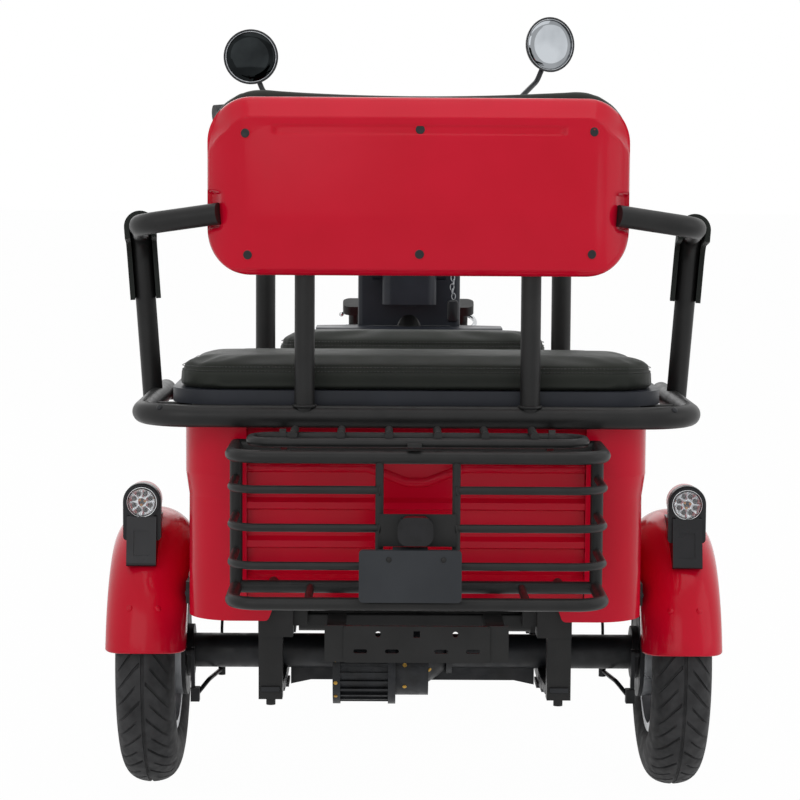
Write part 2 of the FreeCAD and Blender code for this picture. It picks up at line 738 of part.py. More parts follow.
def save_backrests(rail):
    """Posts, the red shell with its bevelled edge, and the cushions in front of their boards."""
    post_top = backrest_bottom_z + 110
    post_y = seat_tube_y
    posts = []
    for x in (-backrest_post_x, backrest_post_x):
        posts.append(cut(rod((x, post_y, seat_tube_z), (x, post_y, post_top), backrest_post_radius),
                         rail))
    rider_posts = []
    for x in (-rider_post_x, rider_post_x):
        post = bent_tube([(x, 200, floor_rail_top - 10), (x, 168, 560), (x, 168, 880)], [300],
                         rider_post_radius)
        foot = block((x - 20, x + 20), (170, 230), (floor_rail_top - 20, floor_rail_top + seat_gap))
        rider_posts.append(cut(post, foot))
    save("backrest_posts", *(posts + rider_posts))

    tools = [rod((s * backrest_post_x, post_y, backrest_bottom_z - 20),
                 (s * backrest_post_x, post_y, backrest_bottom_z + 20), backrest_post_radius + seat_gap)
             for s in (-1, 1)]
    tools += both_sides(arm_tube(arm_tube_radius + seat_gap))
    tools += both_sides(rounded_slot((backrest_half - 20, backrest_half + 5),
                                     (arm_start[2] - 19, arm_start[2] + 28)))
    for z in (backrest_bottom_z + 27, backrest_top_z - 43):
        for x in (-212.0, 0.0, 212.0):
            tools.append(rod((x, backrest_rear_y - 20, z), (x, backrest_front_y - 20, z), 5.5))
    groove = rounded_back((-177, 177), (backrest_rear_y - 20, backrest_rear_y + 2.2),
                          (backrest_top_z - 46, backrest_top_z - 34), 5)
    save("backrest_shell", cut(shell_form(0), groove, *tools).cut(shell_form(body_wall)))

    pad_y = (backrest_front_y + seat_gap, backrest_front_y + 55)
    pad = rounded_back((-backrest_half - 3, backrest_half + 3), pad_y,
                       (backrest_bottom_z + 2, backrest_top_z + 8), 60)
    save("backrest_cushion", pad.makeFillet(18, front_edges(pad, pad_y[1])))

    rider_y = (168 + rider_post_radius + seat_gap, 198)
    rider_pad = rounded_back((-250, 250), rider_y, (700, 905), 60)
    save("rider_backrest", rider_pad.makeFillet(7, front_edges(rider_pad, rider_y[1])))


def front_edges(shape, y):
    """The edges that lie wholly in the plane at one y."""
    return [e for e in shape.Edges if abs(e.BoundBox.YMin - y) < 0.01 and abs(e.BoundBox.YMax - y) < 0.01]


def top_edges(shape, z):
    """The edges that lie wholly in the plane at one height."""
    return [e for e in shape.Edges if abs(e.BoundBox.ZMin - z) < 0.01 and abs(e.BoundBox.ZMax - z) < 0.01]


def arm_tube(radius):
    """The right armrest's tube: out of the backrest, forward under the pad and down to the rail."""
    return bent_tube([arm_start, arm_rear, arm_front, arm_foot], [arm_rear_bend, arm_front_bend], radius)


def arm_pad():
    """A moulded channel over the tube, open below and behind, past the front bend."""
    corner = Vec(*arm_front)
    back = (Vec(*arm_rear) - corner).normalize()
    down = (Vec(*arm_foot) - corner).normalize()
    across = back.cross(down).normalize()
    up = across.cross(back)
    if up.z < 0:
        up = up * -1
    inner = arm_tube_radius + seat_gap
    outer = inner + arm_pad_wall
    start = corner + back * arm_pad_reach

    def at(side, height):
        return start + across * side + up * height

    skirt = -arm_pad_skirt
    edges = [Part.LineSegment(at(-outer, skirt), at(-outer, 0)).toShape(),
             Part.Arc(at(-outer, 0), at(0, outer), at(outer, 0)).toShape(),
             Part.LineSegment(at(outer, 0), at(outer, skirt)).toShape(),
             Part.LineSegment(at(outer, skirt), at(inner, skirt)).toShape(),
             Part.LineSegment(at(inner, skirt), at(inner, 0)).toShape(),
             Part.Arc(at(inner, 0), at(0, inner), at(-inner, 0)).toShape(),
             Part.LineSegment(at(-inner, 0), at(-inner, skirt)).toShape(),
             Part.LineSegment(at(-inner, skirt), at(-outer, skirt)).toShape()]
    spine = route([start, corner, corner + down * arm_pad_drop], [arm_front_bend])
    return spine.makePipeShell([Part.Wire(edges)], True, False)


def save_arms(rail):
    """Armrest tubes from the backrest to the seat tube, and the pads over them."""
    save("arm_frames", *both_sides(cut(arm_tube(arm_tube_radius), rail)))
    save("arm_pads", *both_sides(arm_pad()))


def save_rack():
    """The welded basket behind the trunk and its hinged lid."""
    r = rack_loop_radius
    x = rack_half
    loops = []
    for z in (rack_top_z, rack_bottom_z):
        loops.append(bent_tube([(-x, rack_front_y, z), (-x, rack_rear_y, z), (x, rack_rear_y, z),
                                (x, rack_front_y, z)], [rack_corner, rack_corner], r))
    posts = [rod((s * x, rack_front_y, rack_bottom_z), (s * x, rack_front_y, rack_top_z), r)
             for s in (-1, 1)]
    bars = []
    for z in (459, 413, 367):
        for s in (-1, 1):
            bars.append(bent_tube([(s * x, rack_front_y, z), (s * x, rack_rear_y, z),
                                   (s * 46, rack_rear_y, z)],
                                  [rack_corner], rack_rod_radius))
    uprights = [rod((s * 46, rack_rear_y, rack_bottom_z), (s * 46, rack_rear_y, rack_top_z),
                    rack_rod_radius)
                for s in (-1, 1)]
    bottoms = [rod((bx, rack_front_y - 4, rack_bottom_z), (bx, rack_rear_y, rack_bottom_z),
                   rack_rod_radius)
               for bx in (-132, -44, 44, 132)]
    front_bars = [rod((-x, rack_front_y, z), (x, rack_front_y, z), r)
                  for z in (rack_top_z, rack_bottom_z)]
    arms = []
    for z, depth in ((rack_bottom_z, rib_depth + seat_gap), (rack_top_z, seat_gap)):
        for arm_x in (-180, 180):
            arms.append(rod((arm_x, rack_front_y, z), (arm_x, rear_panel_y - depth, z), 6))
    lugs = []
    for lug_x in (-165, 165):
        web = in_side_view([(rack_front_y, 492), (rack_front_y, 504), (lid_hinge_y + 4, lid_z + 8),
                            (lid_hinge_y - 4, lid_z - 9)], 0, (lug_x - 4, lug_x + 4))
        eye = rod((lug_x - 4, lid_hinge_y, lid_z), (lug_x + 4, lid_hinge_y, lid_z), 10)
        lugs.append(cut(joined([web, eye]),
                        rod((lug_x - 5, lid_hinge_y, lid_z), (lug_x + 5, lid_hinge_y, lid_z),
                            lid_radius + 0.05)))
    plate = block((-46, 46), (rack_rear_y - 7, rack_rear_y - 4.5), (392, 431))
    save("rack_frame",
         joined(loops + posts + bars + uprights + bottoms + front_bars + arms + lugs + [plate]))

    lid_rear_y = rack_rear_y + 14
    sides = bent_tube([(0, lid_hinge_y, lid_z), (-lid_half, lid_hinge_y, lid_z),
                       (-lid_half, lid_rear_y, lid_z),
                       (0, lid_rear_y, lid_z)], [28, 28], lid_radius)
    bars = [rod((bx, lid_hinge_y, lid_z + 9), (bx, lid_rear_y, lid_z + 9), rack_rod_radius)
            for bx in (-150, -93, -35, 24, 81, 140)]
    tab = block((-13, 4), (rack_rear_y - 9, lid_rear_y), (lid_z - 3, lid_z + 1))
    save("rack_lid", joined([sides, mirrored(sides), tab] + bars))


def save_plates():
    """The number plate's holder, the lamp over it and the slotted steel plate low down."""
    holder = rounded_back((-70, 52), (-plate_reach, -plate_reach + 9), (329, 391.5), 5)
    arm = block((-30, 12), (-plate_reach + 9, rack_rear_y - 5), (371, 391.5))
    save("number_plate_holder", joined([holder, arm]))
    lamp = rounded_back((-24.3, 18.3), (rack_rear_y - 30, rack_rear_y - 7.3), (396, 430), 12)
    save("plate_lamp", lamp)

    low_y = (-402, -398)
    plate = rounded_back((-89, 89), low_y, (244, 289), 4)
    tools = [rod((s * 47, low_y[0] - 1, 279), (s * 47, low_y[1] + 1, 279), 3.5) for s in (-1, 1)]
    for x in (-68.5, -30, 30, 68.5):
        tools.append(rounded_back((x - 8.5, x + 8.5), (low_y[0] - 1, low_y[1] + 1), (255.5, 260.5), 2.4))
    tools.append(block((-4, 4), (low_y[0] - 1, low_y[1] + 1), (275, 283)))
    arms = [block((s * 100 - 12, s * 100 + 12), (low_y[1], -212 - seat_gap), (262, 270)) for s in (-1, 1)]
    feet = [block((min(s * 80, s * 112), max(s * 80, s * 112)), (low_y[1], low_y[1] + 3), (244, 289))
            for s in (-1, 1)]
    save("tow_plate", joined([cut(plate, *tools)] + arms + feet))


def fender_section(radius, width, skirt):
    """An arched crown between two short straight skirts, one wall thick."""
    half = width / 2
    shoulder = radius - 40
    inner = half - fender_wall
    return section([
        (-half, shoulder - skirt),
        (-half, shoulder),
        (0, radius, half, shoulder),
        (half, shoulder - skirt),
        (inner, shoulder - skirt),
        (inner, shoulder),
        (0, radius - fender_wall, -inner, shoulder),
        (-inner, shoulder - skirt),
    ])


def save_rear_fenders():
    x = rear_track / 2 - 2
    fender = turned(fender_section(rear_fender_radius, rear_fender_width, 18), (x, 0, axle_z), 15, 155)
    save("rear_fenders", *both_sides(fender))
    inner_x = x - rear_fender_width / 2 - seat_gap
    body_x = body_half - waist_step + seat_gap
    brackets = [
        block((body_x, inner_x), (-150, -110), (271, 300)),
        block((body_x, inner_x), (-22, 22), (318, 334)),
    ]
    save("fender_brackets", *(brackets + [mirrored(b) for b in brackets]))

    lamp_x, lamp_z = 360.0, 403.0
    lens_y = -132.0
    shell = section([(12, 0), (12, 25), (34, 24), (54, 15), (64, 0)])
    shell.rotate(Vec(0, 0, 0), Vec(0, 0, 1), 90)
    back = shell.revolve(Vec(0, 0, 0), Vec(0, 1, 0), 360)
    back.translate(Vec(lamp_x, lens_y + seat_gap, lamp_z))
    arch = in_rear_view([(lamp_x - 25, 352), (lamp_x + 25, 352), (lamp_x + 25, 428), (lamp_x - 25, 428)],
                        [5, 5, 24.5, 24.5], (lens_y - 1, lens_y + 12))
    tab = in_side_view([(-150, 320), (-137, 386), (-120.4, 386), (-120.4, 377.4), (-40, 377.4),
                        (-80, 345), (-132, 318)], [4, 4, 0, 0, 0, 0, 0],
                       (lamp_x - 19.5, lamp_x + 19.5))
    panel = in_side_view([(-149.3, 334), (-143, 366), (-139.5, 366), (-145.8, 334)], 0,
                         (lamp_x - 10, lamp_x + 10))
    cup = rod((lamp_x, lens_y - 4, lamp_z), (lamp_x, lens_y, lamp_z), 23)
    seat = rod((lamp_x, lens_y - 5, lamp_z), (lamp_x, lens_y + 2, lamp_z), 20.8)
    over = turned(fender_section(rear_fender_radius + seat_gap, rear_fender_width, 18), (x, 0, axle_z),
                  10, 165)
    filled = rod((x - 60, 0, axle_z), (x + 60, 0, axle_z), rear_fender_radius - 10)
    housing = cut(joined([arch, tab, cup]), seat, panel, over, filled).Solids
    housing.sort(key=lambda solid: -solid.Volume)
    save("lamp_housings", *both_sides(housing[0]))
    back = cut(back, over, filled).Solids
    back.sort(key=lambda solid: -solid.Volume)
    save("lamp_backs", *both_sides(back[0]))
    lens = rod((lamp_x, lens_y - 2.5, lamp_z), (lamp_x, lens_y + 1.7, lamp_z), 20.5)
    save("lamp_lenses", *both_sides(lens))


def save_seats():
    """The bench and the rider's seat: a moulded base and a crowned cushion each."""
    z = bench_base_z
    base = rounded_plan((-bench_half, bench_half), (bench_rear_y, bench_front_y),
                        (z, z + bench_base_height),
                        bench_corner)
    save("bench_base", joined([base] + both_sides(bench_hinge()[1])))
    z = z + bench_base_height
    cushion = rounded_plan((-bench_half + 2, bench_half - 2), (bench_rear_y + 2, bench_front_y - 2),
                           (z, z + bench_cushion_height), bench_corner - 2)
    top = top_edges(cushion, z + bench_cushion_height)
    save("bench_cushion", cushion.makeFillet(12, top))

    z = rider_seat_z
    half = rider_seat_half
    base = rounded_plan((-half, half), (rider_seat_rear_y, rider_seat_front_y), (z, z + 12), 70)
    save("rider_seat_base", joined([base] + both_sides(seat_hinge()[1])))
    cushion = rounded_plan((-half, half), (rider_seat_rear_y, rider_seat_front_y), (z + 12, z + 47), 70)
    save("rider_seat_cushion", cushion.makeFillet(14, top_edges(cushion, z + 47)))


def save_rider_floor():
    """Floor board, battery box with its battery, front apron, knee box and column cover."""
    floor = rounded_plan((-floor_half, floor_half), (118, floor_front_y), (floor_z, floor_z + 18), 60)
    kink = block((-floor_half - 1, floor_half + 1), (0, 222), (floor_z - 1, floor_z + 90))
    mat = rounded_plan((-floor_half + 30, floor_half - 30), (seat_box_front_y + 20, floor_front_y - 100),
                       (floor_z + 17, floor_z + 21), 30)
    save("footboard", cut(joined([floor, mat]), kink, neck_tube(neck_radius + 2)))

    x, y = seat_box_half, (seat_box_rear_y + 40, seat_box_front_y)
    z = (floor_z + 18.3, rider_seat_z - seat_gap)
    box = cut(rounded_plan((-x, x), y, z, 35),
              rounded_plan((-x + 3, x - 3), (y[0] + 3, y[1] - 3), (z[0] + 3, z[1] + 1), 32))
    save("seat_box", joined([box] + both_sides(seat_hinge()[0])))
    save("battery_pack", block((-130, 130), (y[0] + 25, y[1] - 25), (z[0] + 3.3, z[0] + 210)))

    apron_mid_y = 905.0
    curve = 460.0
    sheet = cut(rod((0, apron_mid_y - curve, 150), (0, apron_mid_y - curve, 700), curve),
                rod((0, apron_mid_y - curve, 149), (0, apron_mid_y - curve, 701), curve - 4))
    sheet.rotate(Vec(0, apron_mid_y, 235), Vec(1, 0, 0), 7)
    outline = in_rear_view([(-200, 232), (-215, 420), (-165, 572), (165, 572), (215, 420), (200, 232)],
                           [30, 60, 50, 50, 60, 30], (apron_mid_y - 160, apron_mid_y + 60))
    apron = sheet.common(outline).Solids
    apron.sort(key=lambda solid: -solid.Volume)
    save("front_apron", apron[0])

    knee_outer = in_side_view([(floor_front_y - 70, floor_z + 18.3), (floor_front_y - 62, 420),
                               (755, 440), (752, 580),
                               (900, 580), (900, floor_z + 18.3)], [0, 20, 14, 22, 0, 0], (-157, 157))
    knee_inner = in_side_view([(floor_front_y - 66, floor_z + 10), (floor_front_y - 58, 424), (759, 444),
                               (756, 576),
                               (900, 576), (900, floor_z + 10)], [0, 16, 10, 18, 0, 0], (-153, 153))
    neck_hole = neck_tube(neck_radius + 2)
    fills = []
    for gap in (4 + seat_gap, 8.0):
        fill = rod((0, apron_mid_y - curve, 150), (0, apron_mid_y - curve, 700), curve - gap)
        fill.rotate(Vec(0, apron_mid_y, 235), Vec(1, 0, 0), 7)
        fills.append(fill)
    knee = cut(knee_outer.common(fills[0]), knee_inner.common(fills[1]), neck_hole)
    save("knee_box", *knee.Solids)

    low_z, wide_z, top_z = 580.3, 692.0, 765.0
    back = rounded_plan((-87, 87), (826, 856), (low_z, top_z), 8)
    deep = rounded_plan((-87, 87), (826, 960), (wide_z, top_z), 20)
    inner = rounded_plan((-83, 83), (830, 956), (low_z - 1, top_z + 1), 16)
    lock_case = rounded_plan((-46, 46), (780, 830), (618, top_z), 16)
    bosses = rod((-62, 803, 668), (62, 803, 668), 9)
    column = cut(joined([back, deep, lock_case, bosses]), inner, neck_hole)
    save("column_cover", *column.Solids)


def save_steering():
    """Fork, springs, handlebar, grips, instrument case, headlamp, mirrors and front fender."""
    leg_x = fork_leg_x
    parts = []
    axle_y = wheel_offset
    for s in (-1, 1):
        parts.append(rod((s * leg_x, 0, -20), (s * leg_x, 0, 240), fork_leg_radius))
        parts.append(rod((s * leg_x, 0, 230), (s * leg_x, 0, fork_yoke_z + 4), stanchion_radius))
        parts.append(rod((s * (leg_x - 4), axle_y, 0), (s * (leg_x + 10), axle_y, 0), 17))
        parts.append(block(sorted((s * (leg_x - 4), s * (leg_x + 6))), (0, axle_y), (-14, 20)))
        parts.append(rod((s * leg_x, 0, 246), (s * leg_x, 0, 240), fork_spring_radius))
    parts.append(rounded_plan((-leg_x - 20, leg_x + 20), (-20, 20), (fork_yoke_z, fork_yoke_z + 16), 14))
    parts.append(rod((0, 0, fork_yoke_z + 8), (0, 0, 770), stem_radius))
    parts.append(rod((-leg_x - 16, axle_y, 0), (leg_x + 16, axle_y, 0), front_axle_radius))
    fork = steered(joined(parts))
    fender = turned(fender_section(front_fender_radius, front_fender_width, 14), (0, wheelbase, axle_z),
                    front_fender_start, 160)
    stays = []
    for s in (-1, 1):
        low, high = sorted((s * (front_fender_width / 2 - 6), s * leg_x))
        stays.append(steered(block((low, high), (-6, 6), (156, 170))))
    solid_fender = rod((-front_fender_width / 2 - seat_gap, wheelbase, axle_z),
                       (front_fender_width / 2 + seat_gap, wheelbase, axle_z), front_fender_radius)
    fork = cut(joined([fork] + stays),
               solid_fender.cut(rod((-60, wheelbase, axle_z), (60, wheelbase, axle_z), 130)))
    save("fork", *fork.Solids)
    save("front_fender", fender)

    springs = []
    spring_z = (246.3, fork_yoke_z - seat_gap)
    count = 7
    pitch = (spring_z[1] - spring_z[0]) / count
    for s in (-1, 1):
        steps = [(spring_z[0], stanchion_radius + 0.5)]
        for i in range(count):
            steps.append((spring_z[0] + pitch * i, fork_spring_radius - 7))
            steps.append((spring_z[0] + pitch * (i + 0.5), fork_spring_radius))
        steps.append((spring_z[1], fork_spring_radius - 7))
        steps.append((spring_z[1], stanchion_radius + 0.5))
        sleeve = section(steps).revolve(Vec(0, 0, 0), Vec(1, 0, 0), 360)
        sleeve.rotate(Vec(0, 0, 0), Vec(0, 1, 0), -90)
        sleeve.translate(Vec(s * leg_x, 0, 0))
        springs.append(steered(sleeve))
    save("fork_springs", *springs)

    top = steered_point(0, 0, handlebar_z)
    bar_points = [(-handlebar_half, top.y - 80, top.z + 8), (-190, top.y - 30, top.z + 20),
                  (-80, top.y, top.z),
                  (80, top.y, top.z), (190, top.y - 30, top.z + 20), (handlebar_half, top.y - 80,
                                                                      top.z + 8)]
    bar_bends = [60, 50, 50, 60]
    bar = bent_tube(bar_points, bar_bends, handlebar_radius)
    riser = steered(joined([rod((0, 0, 770), (0, 0, handlebar_z), 20),
                            rounded_plan((-32, 32), (-20, 20), (handlebar_z - 16, handlebar_z + 16), 8)]))
    levers = []
    grips = []
    for s in (-1, 1):
        outer = Vec(s * handlebar_half, top.y - 80, top.z + 8)
        inner = Vec(s * 190, top.y - 30, top.z + 20)
        along = (outer - inner).normalize()
        start = inner + along * 26
        grips.append(cut(rod(outer + along * 2, start + along * 12, 16.5),
                         rod(outer, start - along * 12, handlebar_radius + seat_gap)))
        perch = rod(start - along * 14, start + along * 6, 16)
        lever = bent_tube([start + Vec(0, 0, 0), start + Vec(0, 30, 0), outer + Vec(-s * 20, 46, -6)],
                          [12], 5)
        levers += [perch, lever]
    save("handlebar", joined([bar, riser] + levers))
    save("handlebar_grips", *grips)

    case = rounded_back((-78, 78), (top.y - 42, top.y + 46), (top.z - 62, top.z + 34), 26)
    case = cut(case, rounded_back((-74, 74), (top.y - 38, top.y + 42), (top.z - 58, top.z + 30), 22))
    holes = cut(case, bent_tube(bar_points, bar_bends, handlebar_radius + seat_gap),
                steered(rod((0, 0, 700), (0, 0, handlebar_z), 20 + seat_gap)))
    save("instrument_housing", holes)

    lamp_z = top.z - 30
    lamp = section([(0, 0), (0, 48), (20, 62), (50, 74), (74, 78), (80, 78), (80, 0)])
    lamp.rotate(Vec(0, 0, 0), Vec(0, 0, 1), 90)
    lamp = lamp.revolve(Vec(0, 0, 0), Vec(0, 1, 0), 360)
    lamp.translate(Vec(0, top.y + 46.3, lamp_z))
    hollow = rod((0, top.y + 100, lamp_z), (0, top.y + 140, lamp_z), 72)
    save("headlamp", cut(lamp, hollow))
    save("headlamp_lens", rod((0, top.y + 118, lamp_z), (0, top.y + 125, lamp_z), 71.7))

    mirrors = []
    glass = []
    for s, x, z, yaw in ((-1, -274.0, 1037.0, 0), (1, 241.0, 1061.0, 24)):
        centre = Vec(x, top.y + 55, z)
        dome = section([(0, 0), (0, 47), (4, 46), (10, 36), (15, 14), (15, 0)])
        dome.rotate(Vec(0, 0, 0), Vec(0, 0, 1), 90)
        dome = dome.revolve(Vec(0, 0, 0), Vec(0, 1, 0), 360)
        dome = cut(dome, rod((0, -1, 0), (0, 2, 0), 44))
        face = rod((0, 0.5, 0), (0, 1.7, 0), 43.7)
        for piece in (dome, face):
            piece.rotate(Vec(0, 0, 0), Vec(0, 0, 1), yaw)
            piece.translate(centre)
        foot = Vec(s * 172, top.y - 24, top.z + 27)
        bend = Vec(x - s * 22, top.y + 60, z - 62)
        stem = bent_tube([foot, bend, centre + Vec(0, 12, -8)], [20], 4.5)
        mirrors.append(cut(joined([stem, dome]), bar))
        glass.append(face)
    save("mirrors", *mirrors)
    save("mirror_glass", *glass)


def main():
    os.makedirs("parts", exist_ok=True)
    save_wheels()
    save_rear_axle()
    save_main_frame()
    save_body()
    rail = save_seat_frame()
    save_backrests(rail)
    save_arms(rail)
    save_rack()
    save_plates()
    save_rear_fenders()
    save_seats()
    save_rider_floor()
    save_steering()


main()
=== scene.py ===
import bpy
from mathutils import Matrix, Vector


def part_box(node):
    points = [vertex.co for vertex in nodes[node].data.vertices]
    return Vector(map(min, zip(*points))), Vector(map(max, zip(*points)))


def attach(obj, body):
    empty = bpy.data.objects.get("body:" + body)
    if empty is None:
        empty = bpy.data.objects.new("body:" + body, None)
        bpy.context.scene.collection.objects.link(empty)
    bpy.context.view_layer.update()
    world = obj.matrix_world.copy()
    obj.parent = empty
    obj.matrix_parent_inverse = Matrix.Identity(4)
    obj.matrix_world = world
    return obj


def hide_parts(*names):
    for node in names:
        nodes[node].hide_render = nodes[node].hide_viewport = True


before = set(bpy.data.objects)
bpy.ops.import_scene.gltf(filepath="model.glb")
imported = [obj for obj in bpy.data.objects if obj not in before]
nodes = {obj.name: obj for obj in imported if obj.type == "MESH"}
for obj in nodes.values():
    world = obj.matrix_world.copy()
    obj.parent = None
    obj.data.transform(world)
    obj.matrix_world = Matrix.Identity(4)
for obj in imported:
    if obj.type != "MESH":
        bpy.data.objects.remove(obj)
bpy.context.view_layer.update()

import math
import random
import bpy
import bmesh
from mathutils import Vector, Matrix
from mathutils.bvhtree import BVHTree

mm = 0.001

# the rear axle lies behind the middle of the footprint; measured from the wheels' own boxes
tyreLow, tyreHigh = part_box("tyre_left")
axleY = (tyreLow.y + tyreHigh.y) / 2
axleZ = (tyreLow.z + tyreHigh.z) / 2


# Colours are written as sRGB hex and turned to linear here.
def hexColour(code):
    channels = [int(code[i:i + 2], 16) / 255 for i in (0, 2, 4)]
    return [c / 12.92 if c <= 0.04045 else ((c + 0.055) / 1.055) ** 2.4 for c in channels] + [1.0]


# One node with its settings and links: values by input name, links as (from node, from output).
def addNode(tree, kind, settings=None, values=None, links=None):
    node = tree.nodes.new(kind)
    for key, value in (settings or {}).items():
        setattr(node, key, value)
    for key, value in (values or {}).items():
        node.inputs[key].default_value = value
    for key, (source, output) in (links or {}).items():
        tree.links.new(source.outputs[output], node.inputs[key])
    return node


def newMaterial(name, **shaderValues):
    material = bpy.data.materials.new(name)
    material.use_nodes = True
    tree = material.node_tree
    shader = tree.nodes["Principled BSDF"]
    for key, value in shaderValues.items():
        shader.inputs[key.replace("_", " ")].default_value = value
    coords = addNode(tree, "ShaderNodeTexCoord")
    return material, tree, shader, coords


# Colour that drifts between two hex values, from soft noise of a real size in millimetres.
def driftColour(tree, shader, coords, first, second, sizeMm):
    noise = addNode(tree, "ShaderNodeTexNoise", None, {"Scale": 1000.0 / sizeMm, "Detail": 3.0},
                    {"Vector": (coords, "Object")})
    ramp = addNode(tree, "ShaderNodeValToRGB", None, None, {"Fac": (noise, "Fac")})
    for stop, position, code in zip(ramp.color_ramp.elements, (0.35, 0.65), (first, second)):
        stop.position = position
        stop.color = hexColour(code)
    tree.links.new(ramp.outputs["Color"], shader.inputs["Base Color"])


# Roughness that drifts between two values.
def driftRoughness(tree, shader, coords, low, high, sizeMm):
    noise = addNode(tree, "ShaderNodeTexNoise", None, {"Scale": 1000.0 / sizeMm, "Detail": 4.0},
                    {"Vector": (coords, "Object")})
    spread = addNode(tree, "ShaderNodeMapRange", None,
                     {"From Min": 0.3, "From Max": 0.7, "To Min": low, "To Max": high},
                     {"Value": (noise, "Fac")})
    tree.links.new(spread.outputs["Result"], shader.inputs["Roughness"])


# Bump from noise whose grain has a real size in millimetres and a real height in millimetres.
def grainBump(tree, shader, coords, sizeMm, heightMm, detail, strength):
    grain = addNode(tree, "ShaderNodeTexNoise", None, {"Scale": 1000.0 / sizeMm, "Detail": detail},
                    {"Vector": (coords, "Object")})
    bump = addNode(tree, "ShaderNodeBump", None, {"Strength": strength, "Distance": heightMm * mm},
                   {"Height": (grain, "Fac")})
    tree.links.new(bump.outputs["Normal"], shader.inputs["Normal"])


# A finish, all sizes in millimetres: colour that drifts, roughness that drifts, and a grain given as
# (size, height, detail, strength).
def finish(name, colours, colourSize, rough=None, roughSize=None, grain=None, **shaderValues):
    material, tree, shader, coords = newMaterial(name, **shaderValues)
    driftColour(tree, shader, coords, *colours, colourSize)
    if rough:
        driftRoughness(tree, shader, coords, *rough, roughSize)
    if grain:
        grainBump(tree, shader, coords, *grain)
    return material


# Injection-moulded ABS, pigmented red and polished: deep colour under a clear, mirror-like skin, with the
# slow waviness of a thin moulded wall, a hand's width across.
red = finish("moulded ABS, gloss red", ("DE0A2C", "E60E32"), 140.0, grain=(90.0, 0.5, 1.0, 0.35),
             Roughness=0.17, IOR=1.45, Specular_IOR_Level=0.22)

# Bonded polyester sewing thread, black with a slight shine.
threadBlack = finish("bonded polyester thread, black", ("1D1F1D", "2A2C29"), 5.0, (0.4, 0.55), 3.0,
                     IOR=1.5, Sheen_Weight=0.2)

# Amber epoxy over the turn signal's emitters.
amber = finish("cast epoxy, amber", ("C97414", "E39A2C"), 3.0, IOR=1.54, Roughness=0.12)

# Steel tube under satin black powder coat: even colour, fine orange peel about 2 mm across.
satin = finish("powder-coated steel, satin black", ("202020", "272727"), 40.0, (0.36, 0.46), 25.0,
               (2.0, 0.05, 2.0, 0.35), IOR=1.45, Specular_IOR_Level=0.3)

# Black chassis paint brushed on axle parts: duller, with dusty patches in the corners.
chassisBlack = finish("chassis paint on steel, black", ("131416", "202226"), 30.0, (0.35, 0.6), 18.0,
                      (3.0, 0.15, 4.0, 0.4), IOR=1.5, Specular_IOR_Level=0.35)

# Sand-cast aluminium painted black: a coarse sugary skin.
castDark = finish("sand-cast aluminium, painted black", ("17181A", "26282C"), 22.0, (0.4, 0.62), 12.0,
                  (1.5, 0.25, 5.0, 0.6), IOR=1.5, Metallic=0.3)

# Die-cast aluminium with silver lacquer on the rims.
silver = finish("die-cast aluminium, silver lacquer", ("9EA0A3", "B4B6B9"), 35.0, (0.26, 0.42), 20.0,
                (1.2, 0.05, 3.0, 0.4), Metallic=0.9)


# Knitted-back vinyl, pressed with a fine hide grain of about 1.6 mm, drawn a little coarse so it shows.
def blackVinyl():
    material, tree, shader, coords = newMaterial("embossed vinyl, black", IOR=1.45, Sheen_Weight=0.05,
                                                 Sheen_Roughness=0.4, Specular_IOR_Level=0.22)
    driftColour(tree, shader, coords, "282B27", "2F322D", 60.0)
    driftRoughness(tree, shader, coords, 0.46, 0.58, 30.0)
    cells = addNode(tree, "ShaderNodeTexVoronoi", {"feature": "DISTANCE_TO_EDGE"}, {"Scale": 1000.0 / 1.6},
                    {"Vector": (coords, "Object")})
    edge = addNode(tree, "ShaderNodeMapRange", None, {"From Min": 0.0, "From Max": 0.18},
                   {"Value": (cells, "Distance")})
    bump = addNode(tree, "ShaderNodeBump", None, {"Strength": 0.35, "Distance": 0.12 * mm},
                   {"Height": (edge, "Result")})
    tree.links.new(bump.outputs["Normal"], shader.inputs["Normal"])
    return material


# Moulded plastic with a fine spark-eroded texture.
def mouldedBlack(name, first, second, rough):
    return finish(name, (first, second), 70.0, rough, 40.0, (1.0, 0.05, 2.0, 0.4), IOR=1.49,
                  Specular_IOR_Level=0.3)


vinyl = blackVinyl()
moulded = mouldedBlack("moulded polypropylene, bluish black", "262930", "2E3139", (0.34, 0.44))
plateGrey = mouldedBlack("moulded ABS, dark grey", "2C2F33", "34373B", (0.4, 0.5))
lampBlack = mouldedBlack("moulded polycarbonate, black", "1B1D20", "24262A", (0.25, 0.36))
batteryCase = mouldedBlack("moulded ABS, battery case", "3A3D42", "45484E", (0.45, 0.55))

# Self-skinned polyurethane foam on the armrests: matt, slightly green black, with pores.
foam = finish("self-skinned polyurethane, black", ("1F2320", "282C29"), 30.0, (0.5, 0.66), 15.0,
              (1.4, 0.12, 3.0, 0.5), IOR=1.45, Specular_IOR_Level=0.25)

# Vulcanised tyre rubber: dark grey, bloom on the crown, very fine grain.
rubber = finish("vulcanised rubber, tyre", ("2E2E2F", "404041"), 28.0, (0.62, 0.85), 12.0,
                (1.6, 0.2, 4.0, 0.5), IOR=1.52, Specular_IOR_Level=0.3)

# Clear moulded acrylic of the lamps.
clear = finish("moulded acrylic, clear", ("F4F6F8", "FFFFFF"), 50.0, Roughness=0.03, IOR=1.49,
               Transmission_Weight=0.95)

# Smoked polycarbonate over the number plate's lamp.
smoked = finish("smoked polycarbonate", ("141416", "1E1E21"), 15.0, Roughness=0.12, IOR=1.58,
                Specular_IOR_Level=0.22)

